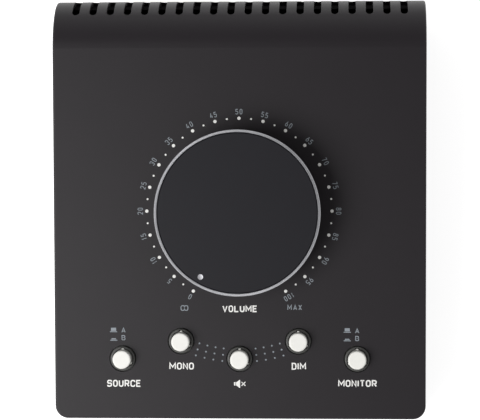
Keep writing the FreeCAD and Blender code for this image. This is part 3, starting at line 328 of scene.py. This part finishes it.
# Strokes of each letter and number in a box one wide and one high. A third number rounds a corner, as a
# share of the letter's height, and a closed stroke starts with True.
OVAL = (True, (0, 0, 0.3), (1, 0, 0.3), (1, 1, 0.3), (0, 1, 0.3))
STROKES = {
    "0": (OVAL,),
    "1": ((False, (0.1, 0.74), (0.6, 1), (0.6, 0)),),
    "2": ((False, (0, 0.78), (0, 1, 0.3), (1, 1, 0.3), (1, 0.58, 0.15), (0, 0), (1, 0)),),
    "3": (
        (False, (0, 0.82), (0, 1, 0.25), (1, 1, 0.25), (1, 0.53, 0.2), (0.35, 0.53)),
        (False, (0.35, 0.53), (1, 0.53, 0.2), (1, 0, 0.25), (0, 0, 0.25), (0, 0.18)),
    ),
    "4": ((False, (0.55, 1), (0, 0.25), (1, 0.25)), (False, (0.75, 0.52), (0.75, 0))),
    "5": (
        (False, (0.95, 1), (0.05, 1), (0, 0.56), (1, 0.6, 0.22), (1, 0, 0.25), (0, 0, 0.25), (0, 0.16)),
    ),
    "6": (
        (False, (0.62, 1), (0, 0.45, 0.15), (0, 0, 0.25), (1, 0, 0.25), (1, 0.57, 0.22), (0.1, 0.57)),
    ),
    "7": ((False, (0, 1), (1, 1), (0.32, 0)),),
    "8": (
        (True, (0, 0, 0.22), (1, 0, 0.22), (1, 0.54, 0.22), (0, 0.54, 0.22)),
        (True, (0.06, 0.54, 0.18), (0.94, 0.54, 0.18), (0.94, 1, 0.18), (0.06, 1, 0.18)),
    ),
    "9": ((False, (0.38, 0), (1, 0.55, 0.15), (1, 1, 0.25), (0, 1, 0.25), (0, 0.43, 0.22), (0.9, 0.43)),),
    "A": ((False, (0, 0), (0.5, 1), (1, 0)), (False, (0.16, 0.28), (0.84, 0.28))),
    "B": (
        (False, (0, 0), (0, 1), (0.94, 1, 0.2), (0.94, 0.53, 0.2), (0, 0.53)),
        (False, (0, 0.53), (1, 0.53, 0.2), (1, 0, 0.22), (0, 0)),
    ),
    "C": ((False, (1, 0.74), (1, 1, 0.3), (0, 1, 0.3), (0, 0, 0.3), (1, 0, 0.3), (1, 0.26)),),
    "D": ((True, (0, 0), (1, 0, 0.32), (1, 1, 0.32), (0, 1)),),
    "E": ((False, (1, 1), (0, 1), (0, 0), (1, 0)), (False, (0, 0.52), (0.86, 0.52))),
    "I": ((False, (0.5, 0), (0.5, 1)),),
    "L": ((False, (0, 1), (0, 0), (1, 0)),),
    "M": ((False, (0, 0), (0, 1), (0.5, 0.32), (1, 1), (1, 0)),),
    "N": ((False, (0, 0), (0, 1), (1, 0), (1, 1)),),
    "O": (OVAL,),
    "R": ((False, (0, 0), (0, 1), (1, 1, 0.25), (1, 0.46, 0.22), (0, 0.46)), (False, (0.5, 0.46), (1, 0))),
    "S": (
        (False, (1, 0.78), (1, 1, 0.26), (0, 1, 0.26), (0, 0.52, 0.24), (0.5, 0.52)),
        (False, (0.5, 0.52), (1, 0.52, 0.24), (1, 0, 0.26), (0, 0, 0.26), (0, 0.22)),
    ),
    "T": ((False, (0, 1), (1, 1)), (False, (0.5, 1), (0.5, 0))),
    "U": ((False, (0, 1), (0, 0, 0.3), (1, 0, 0.3), (1, 1)),),
    "V": ((False, (0, 1), (0.5, 0), (1, 1)),),
    "X": ((False, (0, 0), (1, 1)), (False, (0, 1), (1, 0))),
}
LETTER_WIDTHS = {"I": 0.05, "M": 1.4, "1": 0.6, "V": 1.15, "A": 1.15}


def rounded(stroke, size, unit, steps=6):
    """A stroke's path in millimetres.

    A rounded corner is a curve between points on its two sides, whose weights are squares of a share.
    """
    closed, corners = stroke[0], stroke[1:]
    flat = [np.array(corner[:2]) * size for corner in corners]
    share = np.linspace(0, 1, steps)[:, None]
    path = []
    for step, corner in enumerate(corners):
        here = flat[step]
        if len(corner) < 3:
            path.append(here[None])
            continue
        before, after = flat[step - 1] - here, flat[(step + 1) % len(flat)] - here
        reach = [min(corner[2] * unit, np.linalg.norm(side) / 2) for side in (before, after)]
        start = here + before / np.linalg.norm(before) * reach[0]
        end = here + after / np.linalg.norm(after) * reach[1]
        path.append((1 - share) ** 2 * start + 2 * share * (1 - share) * here + share**2 * end)
    path = np.vstack(path)
    keep = np.linalg.norm(path - np.roll(path, 1, 0), axis=1) > 1e-6
    keep[0] = keep[0] or not closed
    return closed, path[keep]


def ribbon(closed, path, weight, height):
    """A flat band along a path.

    At each point a rectangle stands across the mean direction of the two sides, longer where they turn.
    """
    ahead = np.roll(path, -1, 0) - path
    behind = path - np.roll(path, 1, 0)
    if not closed:
        ahead[-1], behind[0] = behind[-1], ahead[0]
    ahead, behind = (way / np.linalg.norm(way, axis=1)[:, None] for way in (ahead, behind))
    mean = ahead + behind
    mean /= np.linalg.norm(mean, axis=1)[:, None]
    stretch = 1 / np.maximum((mean * ahead).sum(1), 0.5)
    across = np.column_stack([-mean[:, 1], mean[:, 0]]) * (weight / 2 * stretch)[:, None]
    corners = ((across, -height), (across, height), (-across, height), (-across, -height))
    rails = [np.column_stack([path + side, np.full(len(path), level)]) for side, level in corners]
    points = np.stack(rails, 1)
    index = np.arange(len(path) * 4).reshape(-1, 4)
    following = np.roll(index, -1, 0)
    rows = slice(None) if closed else slice(-1)
    here, there = index[rows], following[rows]
    walls = np.stack([here, there, np.roll(there, -1, 1), np.roll(here, -1, 1)], -1)
    ends = [] if closed else [index[0].tolist(), index[-1, ::-1].tolist()]
    return points.reshape(-1, 3), walls.reshape(-1, 4).tolist() + ends


def word(text, height, weight, width=None, letter=0.5, gap=0.26):
    """A word in plain strokes, centred.

    Letter widths and gaps are shares of the height, unless a width sets them.
    """
    shares = np.array([LETTER_WIDTHS.get(mark, 1.0) for mark in text])
    gaps = gap * height * (len(text) - 1)
    inked = weight * len(text)
    unit = (width - gaps - inked) / shares.sum() if width else letter * height - weight
    widths = unit * shares
    left = -(widths.sum() + gaps + inked) / 2
    points, faces = [], []
    tall = height - weight
    for mark, wide in zip(text, widths):
        for stroke in STROKES[mark]:
            closed, path = rounded(stroke, np.array((wide, tall)), height)
            band, sides = ribbon(closed, path + np.array((left + weight / 2, -tall / 2)), weight, INK_HEIGHT)
            start = sum(map(len, points))
            points.append(band)
            faces += [[i + start for i in face] for face in sides]
        left += wide + weight + gap * height
    return np.vstack(points), faces


def add_node(tree, kind, settings=None, links=None):
    """Adds one node, sets its inputs or its own settings, and joins its inputs to other nodes' outputs."""
    node = tree.nodes.new(kind)
    for name, value in (settings or {}).items():
        if isinstance(name, int) or name in node.inputs:
            node.inputs[name].default_value = value
        else:
            setattr(node, name, value)
    for name, source in (links or {}).items():
        tree.links.new(source, node.inputs[name])
    return node


def begin(name, shader_settings):
    """A named material with one shader, and the object's own coordinates to draw patterns on."""
    material = bpy.data.materials.get(name) or bpy.data.materials.new(name)
    material.use_nodes = True
    tree = material.node_tree
    tree.nodes.clear()
    settings = {key.replace("_", " "): value for key, value in shader_settings.items()}
    shader = add_node(tree, "ShaderNodeBsdfPrincipled", settings)
    add_node(tree, "ShaderNodeOutputMaterial", links={"Surface": shader.outputs[0]})
    place = add_node(tree, "ShaderNodeTexCoord").outputs["Object"]
    return material, tree, shader, place


def noise(tree, size, detail, place):
    """Clouds of a size in millimetres."""
    settings = {"Scale": 1 / (size * MM), "Detail": detail}
    return add_node(tree, "ShaderNodeTexNoise", settings, {"Vector": place}).outputs[0]


def dress(tree, shader, tones, tone_by, rough, rough_by, strength, depth, height):
    """Joins a pattern to the shader: two tones, a range of roughness, and a relief in millimetres."""
    tone = add_node(tree, "ShaderNodeMix", {"data_type": "RGBA", 6: tones[0], 7: tones[1]}, {0: tone_by})
    limits = {"To Min": rough[0], "To Max": rough[1]}
    gloss = add_node(tree, "ShaderNodeMapRange", limits, {"Value": rough_by})
    rise = {"Strength": strength, "Distance": depth * MM}
    relief = add_node(tree, "ShaderNodeBump", rise, {"Height": height})
    tree.links.new(tone.outputs[2], shader.inputs["Base Color"])
    tree.links.new(gloss.outputs[0], shader.inputs["Roughness"])
    tree.links.new(relief.outputs[0], shader.inputs["Normal"])


def surface(name, light, dark, patch, grain, depth, rough, stretch=(1, 1, 1), **shader_settings):
    """Two tones that drift into each other in patches.

    A finer grain raises the surface by a depth and varies its roughness. All three are in millimetres.
    """
    material, tree, shader, place = begin(name, shader_settings)
    patches = noise(tree, patch, detail=3.0, place=place)
    mapping = add_node(tree, "ShaderNodeMapping", {"Scale": stretch}, {"Vector": place})
    grains = noise(tree, grain, detail=2.0, place=mapping.outputs[0])
    dress(tree, shader, (dark, light), patches, rough, grains, strength=1.0, depth=depth, height=grains)
    return material


def shade(colour, factor):
    """The same colour, brighter or darker."""
    return (*[min(1.0, c * factor) for c in colour[:3]], 1.0)


def turned_metal(name, colour, centre, pitch, rough, metallic):
    """Metal cut on a lathe: rings round an axis square to the panel, one tool pitch apart."""
    material, tree, shader, place = begin(name, {"Metallic": metallic, "Anisotropic": 0.5})
    mapping = add_node(
        tree,
        "ShaderNodeMapping",
        {"vector_type": "TEXTURE", "Location": tuple(centre), "Rotation": (SLOPE, 0, 0)},
        {"Vector": place},
    )
    rings = add_node(
        tree,
        "ShaderNodeTexWave",
        {
            "wave_type": "RINGS",
            "rings_direction": "Z",
            "Scale": WAVE_LENGTH / (pitch * MM),
            "Distortion": 0.3,
        },
        {"Vector": mapping.outputs[0]},
    )
    drift = noise(tree, size=9, detail=2.0, place=place)
    tones = shade(colour, 0.86), shade(colour, 1.12)
    cut = rings.outputs[1]
    dress(tree, shader, tones, drift, rough, cut, strength=0.3, depth=0.004, height=cut)
    return material


def banded(name, first, second, pitch, width, rough, direction="X"):
    """Two colours in straight bands, a pitch apart in millimetres.

    The second colour takes the given share of the pitch and stands slightly proud.
    """
    material, tree, shader, place = begin(name, {})
    wave = add_node(
        tree,
        "ShaderNodeTexWave",
        {"bands_direction": direction, "Scale": WAVE_LENGTH / (pitch * MM)},
        {"Vector": place},
    )
    soft = 0.08
    edge = add_node(
        tree,
        "ShaderNodeMapRange",
        {"From Min": 1 - width - soft, "From Max": 1 - width + soft},
        {"Value": wave.outputs[1]},
    ).outputs[0]
    grains = noise(tree, size=1.5, detail=2.0, place=place)
    dress(tree, shader, (first, second), edge, rough, grains, strength=0.5, depth=0.05, height=edge)
    return material


def cover(material, *names):
    """Gives CAD nodes their finish."""
    for name in names:
        mesh = nodes[name].data
        mesh.materials.clear()
        mesh.materials.append(material)


BUTTONS = ("source", "mono", "mute", "dim", "monitor")


def button_nodes(ending):
    """The same node of each of the five buttons."""
    return [f"{name}_{ending}" for name in BUTTONS]


class CONTROLLER_OT_finish_housing(bpy.types.Operator):
    """Coats the top shell and the chassis, and finishes the feet and the screws"""

    bl_idname = "controller.finish_housing"
    bl_label = "Finish the housing"

    def execute(self, context):
        coat = context.scene.controller_finish.coat
        # Fine matt powder coat: the fused grains leave a soft, even, faintly pebbled face.
        tones = shade(coat, 1.15), shade(coat, 0.9)
        cover(
            surface("powder_coat", *tones, patch=14, grain=0.35, depth=0.012, rough=(0.42, 0.54), IOR=1.4),
            "top_shell",
        )
        tones = coat, shade(coat, 0.8)
        chassis = surface(
            "powder_coat_chassis", *tones, patch=18, grain=0.35, depth=0.014, rough=(0.52, 0.66), IOR=1.42
        )
        cover(chassis, "base_chassis")
        # Moulded rubber: dull and slightly open, with a grey bloom.
        tones = linear("#262626"), linear("#171717")
        cover(
            surface("moulded_rubber", *tones, patch=3, grain=0.25, depth=0.03, rough=(0.75, 0.9)),
            "rubber_feet",
        )
        # Black zinc on steel: dark, with the plating's thin shine.
        tones = linear("#3c3c3e"), linear("#2a2a2c")
        cover(
            surface("black_zinc", *tones, patch=2, grain=0.3, depth=0.006, rough=(0.3, 0.42), Metallic=1.0),
            "housing_screws",
        )
        return {"FINISHED"}


class CONTROLLER_OT_finish_knob(bpy.types.Operator):
    """Anodises the knob, turns its ring and marker bright, and finishes the parts that hold it"""

    bl_idname = "controller.finish_knob"
    bl_label = "Finish the knob"

    def execute(self, context):
        finish = context.scene.controller_finish
        # Bead blasted, black anodised aluminium: a dense matt face with a cool cast and a fine sparkle.
        tones = shade(finish.anodised, 1.12), shade(finish.anodised, 0.9)
        dyed = surface(
            "anodised_aluminium", *tones,
            patch=7, grain=0.18, depth=0.008, rough=(0.44, 0.56), Metallic=0.2, IOR=1.4,
        )
        cover(dyed, "knob_body")
        bright = finish.bright
        # Diamond turned aluminium: bright, with fine cut rings that draw the light out into arcs.
        cover(
            turned_metal(
                "turned_aluminium_ring", bright, DIAL, pitch=0.1257, rough=(0.3, 0.46), metallic=0.8
            ),
            "knob_trim_ring",
        )
        low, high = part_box("knob_marker")
        middle = (np.array(low) + np.array(high)) / 2
        pin = turned_metal(
            "turned_aluminium_marker", shade(bright, 1.2), middle,
            pitch=0.2094, rough=(0.45, 0.6), metallic=0.5,
        )
        cover(pin, "knob_marker")
        # Zinc plated steel: pale grey with a faint spangle.
        tones = linear("#c2c4c6"), linear("#a3a5a8")
        steel = surface(
            "zinc_plated_steel", *tones, patch=3, grain=0.4, depth=0.005, rough=(0.28, 0.42), Metallic=1.0
        )
        cover(steel, "pot_shaft", "pot_washer", "pot_nut", "pot_bushing_plate")
        cover(steel, "board_screws", "panel_standoffs")
        # Moulded nylon: black, with the even dull shine of a spark eroded tool.
        tones = linear("#1f1f20"), linear("#161617")
        black = surface("moulded_nylon_black", *tones, patch=5, grain=0.3, depth=0.01, rough=(0.42, 0.58))
        cover(black, "knob_hub", "pot_case", "ribbon_headers", "ribbon_plugs")
        return {"FINISHED"}


class CONTROLLER_OT_finish_buttons(bpy.types.Operator):
    """Finishes the caps, their guide rings, and the switches under them"""

    bl_idname = "controller.finish_buttons"
    bl_label = "Finish the buttons"

    def execute(self, context):
        finish = context.scene.controller_finish
        # Moulded ABS: an opaque warm white with a soft satin skin.
        tones = shade(finish.caps, 1.03), shade(finish.caps, 0.94)
        white = surface("moulded_abs_white", *tones, patch=2.2, grain=0.22, depth=0.006, rough=(0.36, 0.5))
        cover(white, *button_nodes("button_cap"))
        # Satin ABS: black, smooth enough to catch a soft line of light on each lip.
        tones = shade(finish.bezels, 1.12), shade(finish.bezels, 0.88)
        cover(
            surface("moulded_abs_black", *tones, patch=3, grain=0.2, depth=0.004, rough=(0.36, 0.48)),
            "button_bezels",
        )
        # Acetal: a waxy black that is slippery to the touch.
        acetal = surface(
            "moulded_acetal", linear("#2c2c2d"), linear("#202021"),
            patch=3, grain=0.25, depth=0.005, rough=(0.38, 0.5),
        )
        cover(acetal, "switch_housings", *button_nodes("switch_plunger"))
        # Drawn music wire: the die leaves lines along it.
        tones = linear("#a6a9ad"), linear("#85888c")
        wire = surface(
            "drawn_spring_wire", *tones,
            patch=1, grain=0.15, depth=0.004, rough=(0.25, 0.38), stretch=(0.2, 0.2, 1), Metallic=1.0,
        )
        cover(wire, *button_nodes("return_spring"))
        # Tinned brass: a soft silver, a little uneven where the bath ran off.
        tones = linear("#cfcfcc"), linear("#b1b1ad")
        tin = surface(
            "tinned_brass", *tones, patch=1.5, grain=0.3, depth=0.004, rough=(0.25, 0.4), Metallic=1.0
        )
        cover(tin, "switch_bases", "pot_legs", "jack_terminals")
        return {"FINISHED"}


class CONTROLLER_OT_finish_inside(bpy.types.Operator):
    """Finishes the jacks, the boards and what stands on them"""

    bl_idname = "controller.finish_inside"
    bl_label = "Finish the jacks and boards"

    def execute(self, context):
        # Glass filled nylon: black with a dull, slightly fibrous skin.
        tones = linear("#232324"), linear("#18181a")
        nylon = surface("glass_filled_nylon", *tones, patch=4, grain=0.3, depth=0.015, rough=(0.4, 0.58))
        cover(nylon, "jack_bodies", "mini_jack_body")
        # Nickel plate: warm, bright, with soft polishing marks.
        tones = linear("#c4c0b8"), linear("#aaa69e")
        nickel = surface(
            "nickel_plate", *tones,
            patch=4, grain=0.3, depth=0.004, rough=(0.16, 0.3), stretch=(1, 0.2, 1), Metallic=1.0,
        )
        cover(nickel, "jack_nuts", "jack_washers", "mini_jack_nut")
        # Glass epoxy board: solder mask lies over etched tracks and shows them as paler lines.
        board = banded(
            "solder_mask_board", linear("#14502a"), linear("#1f6b38"),
            pitch=2.54, width=0.28, rough=(0.25, 0.4),
        )
        cover(board, "control_board", "jack_board")
        # Lacquered resistor: a pale blue coat with its ring bands.
        tones = linear("#5f93b5"), linear("#4a3426")
        cover(
            banded("resistor_lacquer", *tones, pitch=1.6, width=0.3, rough=(0.25, 0.35), direction="Y"),
            "board_resistors",
        )
        # Flat cable: vinyl with one rib over each wire.
        tones = linear("#8b8d92"), linear("#6d6f75")
        cover(banded("ribbon_vinyl", *tones, pitch=1.27, width=0.5, rough=(0.4, 0.5)), "ribbon_cable")
        return {"FINISHED"}


def inks(context):
    """White and grey screen printed epoxy ink: thin, slightly uneven films, duller than the coat below."""
    sizes = context.scene.controller_print
    films = []
    for name, colour in (("white", sizes.white), ("grey", sizes.grey)):
        tones = shade(colour, 1.04), shade(colour, 0.9)
        films.append(
            surface(f"screen_ink_{name}", *tones, patch=1.2, grain=0.2, depth=0.003, rough=(0.5, 0.65))
        )
    return films


class CONTROLLER_OT_print_scale(bpy.types.Operator):
    """Prints the dots and the numbers round the dial"""

    bl_idname = "controller.print_scale"
    bl_label = "Print the scale"

    def execute(self, context):
        sizes = context.scene.controller_print
        angles = SCALE_START + SCALE_STEP * np.arange(SCALE_DOTS)
        turn = np.radians(angles)
        ways = np.stack([np.sin(turn), np.cos(turn)], -1)
        radii = np.where(np.arange(SCALE_DOTS) % 2 == 0, sizes.main_dot, sizes.half_dot)
        white, grey = inks(context)
        dots = spots(ways * SCALE_RADIUS, radii, INK_HEIGHT)
        add_piece("scale_dots", [dots], PANEL, white, HOUSING, smooth=True)
        numbers = [
            turned(word(str(value), sizes.number, NUMBER_WEIGHT), way * NUMBER_RADIUS, angle)
            for value, way, angle in zip(range(0, 101, 5), ways[::2], angles[::2])
        ]
        add_piece("scale_numbers", numbers, PANEL, grey, HOUSING)
        return {"FINISHED"}


class CONTROLLER_OT_print_words(bpy.types.Operator):
    """Prints the words under the knob and the buttons"""

    bl_idname = "controller.print_words"
    bl_label = "Print the words"

    def execute(self, context):
        white, grey = inks(context)
        bold = [
            turned(word(text, tall, BOLD_WEIGHT, wide, gap=WORD_GAP), (u, v))
            for text, u, v, wide, tall in WHITE_WORDS
        ]
        add_piece("function_words", bold, PANEL, white, HOUSING)
        thin = [
            turned(word(text, tall, THIN_WEIGHT, wide), (u, v))
            for text, u, v, wide, tall in GREY_WORDS
        ]
        # The sign for no level at all is two narrow loops that share their middle stroke.
        for side in (-1, 1):
            centre = (NO_LEVEL_PLACE[0] + side * NO_LEVEL_APART, NO_LEVEL_PLACE[1])
            thin.append(loop(centre, *NO_LEVEL_LOOP, THIN_WEIGHT, INK_HEIGHT))
        add_piece("position_words", thin, PANEL, grey, HOUSING)
        return {"FINISHED"}


class CONTROLLER_OT_print_marks(bpy.types.Operator):
    """Prints the mute sign, the raised and pressed marks, and the fields of small dots"""

    bl_idname = "controller.print_marks"
    bl_label = "Print the marks"

    def execute(self, context):
        white, grey = inks(context)
        lower = tuple((x, -y) for x, y in reversed(SPEAKER_UPPER))
        bar, cone, stroke = (
            plate(outline, INK_HEIGHT) for outline in (SPEAKER_BAR, lower + SPEAKER_UPPER, CROSS_STROKE)
        )
        cross = [turned(stroke, CROSS_PLACE, tilt) for tilt in CROSS_TILTS]
        speaker = [turned(part, SPEAKER_PLACE) for part in (bar, cone, *cross)]
        add_piece("mute_mark", speaker, PANEL, white, HOUSING)
        marks = [
            turned(plate(outline, INK_HEIGHT), (u, v))
            for u, v, button in POSITION_MARKS
            for outline in (MARK_BASE, button)
        ]
        add_piece("position_marks", marks, PANEL, grey, HOUSING)
        columns = FIELD_START + FIELD_STEP * np.arange(FIELD_COLUMNS)
        turn = np.radians(np.concatenate([-columns, columns]))
        arcs = np.array(FIELD_ARCS)
        centres = arcs[:, None, None] * np.stack([np.sin(turn), -np.cos(turn)], -1)
        centres = centres.reshape(-1, 2)
        field = spots(centres, np.full(len(centres), FIELD_DOT), INK_HEIGHT, turns=12, rings=3)
        add_piece("field_dots", [field], PANEL, grey, HOUSING, smooth=True)
        return {"FINISHED"}


def seen(tree):
    """One where a ray from the camera, a reflection or a clear material arrives, and nought elsewhere."""
    path = add_node(tree, "ShaderNodeLightPath").outputs
    most = {"operation": "MAXIMUM"}
    either = add_node(tree, "ShaderNodeMath", most, {0: path["Is Camera Ray"], 1: path["Is Glossy Ray"]})
    links = {0: either.outputs[0], 1: path["Is Transmission Ray"]}
    return add_node(tree, "ShaderNodeMath", most, links).outputs[0]


class CONTROLLER_OT_set_stage(bpy.types.Operator):
    """Sets the floor, the soft light and the camera"""

    bl_idname = "controller.set_stage"
    bl_label = "Set the stage"

    def execute(self, context):
        scene, stage = context.scene, context.scene.controller_stage
        mesh = bpy.data.meshes.new("floor")
        corners = [(x * FLOOR_REACH, y * FLOOR_REACH, 0) for x, y in ((-1, -1), (1, -1), (1, 1), (-1, 1))]
        mesh.from_pydata(corners, [], [(0, 1, 2, 3)])
        put("floor", mesh)
        mesh.materials.append(self.paper(stage.floor))
        scene.world = self.room(stage.fill)
        lamp = bpy.data.lights.new("key", "AREA")
        lamp.shape, lamp.size, lamp.energy = "SQUARE", KEY_SIDE, stage.key
        key = put("key", lamp)
        key.location = KEY_PLACE
        key.rotation_euler = (-Vector(KEY_PLACE)).to_track_quat("-Z", "Y").to_euler()
        optics = bpy.data.cameras.new("camera")
        optics.lens, optics.sensor_width = stage.lens, SENSOR_WIDTH
        optics.shift_x, optics.shift_y = CAMERA_SHIFT
        optics.clip_start, optics.clip_end = VIEW_RANGE
        camera = put("camera", optics)
        camera.location = DIAL + MM * np.array(CAMERA_REACH)
        camera.rotation_euler = Euler([math.radians(angle) for angle in CAMERA_TURN])
        scene.camera = camera
        scene.view_settings.view_transform = "Standard"
        return {"FINISHED"}

    def paper(self, colour):
        """Matt paper: white to the eye, and still darker where the object shades it."""
        settings = {"Roughness": 0.9, "Emission Color": WHITE, "Specular IOR Level": 0.2}
        material, tree, shader, place = begin("white_paper", settings)
        fibres = noise(tree, size=25, detail=4.0, place=place)
        tones = {"data_type": "RGBA", 6: shade(colour, 0.98), 7: colour}
        tone = add_node(tree, "ShaderNodeMix", tones, {0: fibres})
        glow = add_node(tree, "ShaderNodeMath", {"operation": "MULTIPLY", 1: FLOOR_GLOW}, {0: seen(tree)})
        tree.links.new(tone.outputs[2], shader.inputs["Base Color"])
        tree.links.new(glow.outputs[0], shader.inputs["Emission Strength"])
        return material

    def room(self, fill):
        """A white room: full strength to the eye, dim overhead in reflections, and soft as light."""
        world = bpy.data.worlds.new("soft_room")
        world.use_nodes = True
        tree = world.node_tree
        tree.nodes.clear()
        place = add_node(tree, "ShaderNodeTexCoord").outputs["Generated"]
        height = add_node(tree, "ShaderNodeSeparateXYZ", links={0: place}).outputs[2]
        fall = {"From Min": OVERHEAD_FROM, "From Max": OVERHEAD_TO, "To Min": 1.0, "To Max": OVERHEAD}
        dome = add_node(tree, "ShaderNodeMapRange", fall, {"Value": height}).outputs[0]
        glossy = add_node(tree, "ShaderNodeLightPath").outputs["Is Glossy Ray"]
        white = {"data_type": "FLOAT", 2: 1.0}
        shown = add_node(tree, "ShaderNodeMix", white, {0: glossy, 3: dome}).outputs[0]
        light = {"data_type": "FLOAT", 2: fill}
        level = add_node(tree, "ShaderNodeMix", light, {0: seen(tree), 3: shown}).outputs[0]
        sky = add_node(tree, "ShaderNodeBackground", {"Color": WHITE}, {"Strength": level})
        add_node(tree, "ShaderNodeOutputWorld", links={"Surface": sky.outputs[0]})
        return world


OPERATORS = (
    CONTROLLER_OT_finish_housing,
    CONTROLLER_OT_finish_knob,
    CONTROLLER_OT_finish_buttons,
    CONTROLLER_OT_finish_inside,
    CONTROLLER_OT_print_scale,
    CONTROLLER_OT_print_words,
    CONTROLLER_OT_print_marks,
    CONTROLLER_OT_set_stage,
)
GROUPS = {
    "controller_finish": ControllerFinish,
    "controller_print": ControllerPrint,
    "controller_stage": ControllerStage,
}


class CONTROLLER_PT_sidebar(bpy.types.Panel):
    """Lists the settings and the steps that dress the controller"""

    bl_idname = "CONTROLLER_PT_sidebar"
    bl_label = "Monitor controller"
    bl_space_type = "VIEW_3D"
    bl_region_type = "UI"
    bl_category = "Controller"

    def draw(self, context):
        for group in GROUPS:
            box = self.layout.box()
            for name in GROUPS[group].__annotations__:
                box.prop(getattr(context.scene, group), name)
        for operator in OPERATORS:
            self.layout.operator(operator.bl_idname)


CLASSES = (*GROUPS.values(), *OPERATORS, CONTROLLER_PT_sidebar)


def register():
    for cls in CLASSES:
        bpy.utils.register_class(cls)
    for name, group in GROUPS.items():
        setattr(bpy.types.Scene, name, bpy.props.PointerProperty(type=group))


def unregister():
    for name in GROUPS:
        delattr(bpy.types.Scene, name)
    for cls in reversed(CLASSES):
        bpy.utils.unregister_class(cls)


def main():
    register()
    bpy.ops.controller.finish_housing()
    bpy.ops.controller.finish_knob()
    bpy.ops.controller.finish_buttons()
    bpy.ops.controller.finish_inside()
    bpy.ops.controller.print_scale()
    bpy.ops.controller.print_words()
    bpy.ops.controller.print_marks()
    bpy.ops.controller.set_stage()


if __name__ == "__main__":
    main()
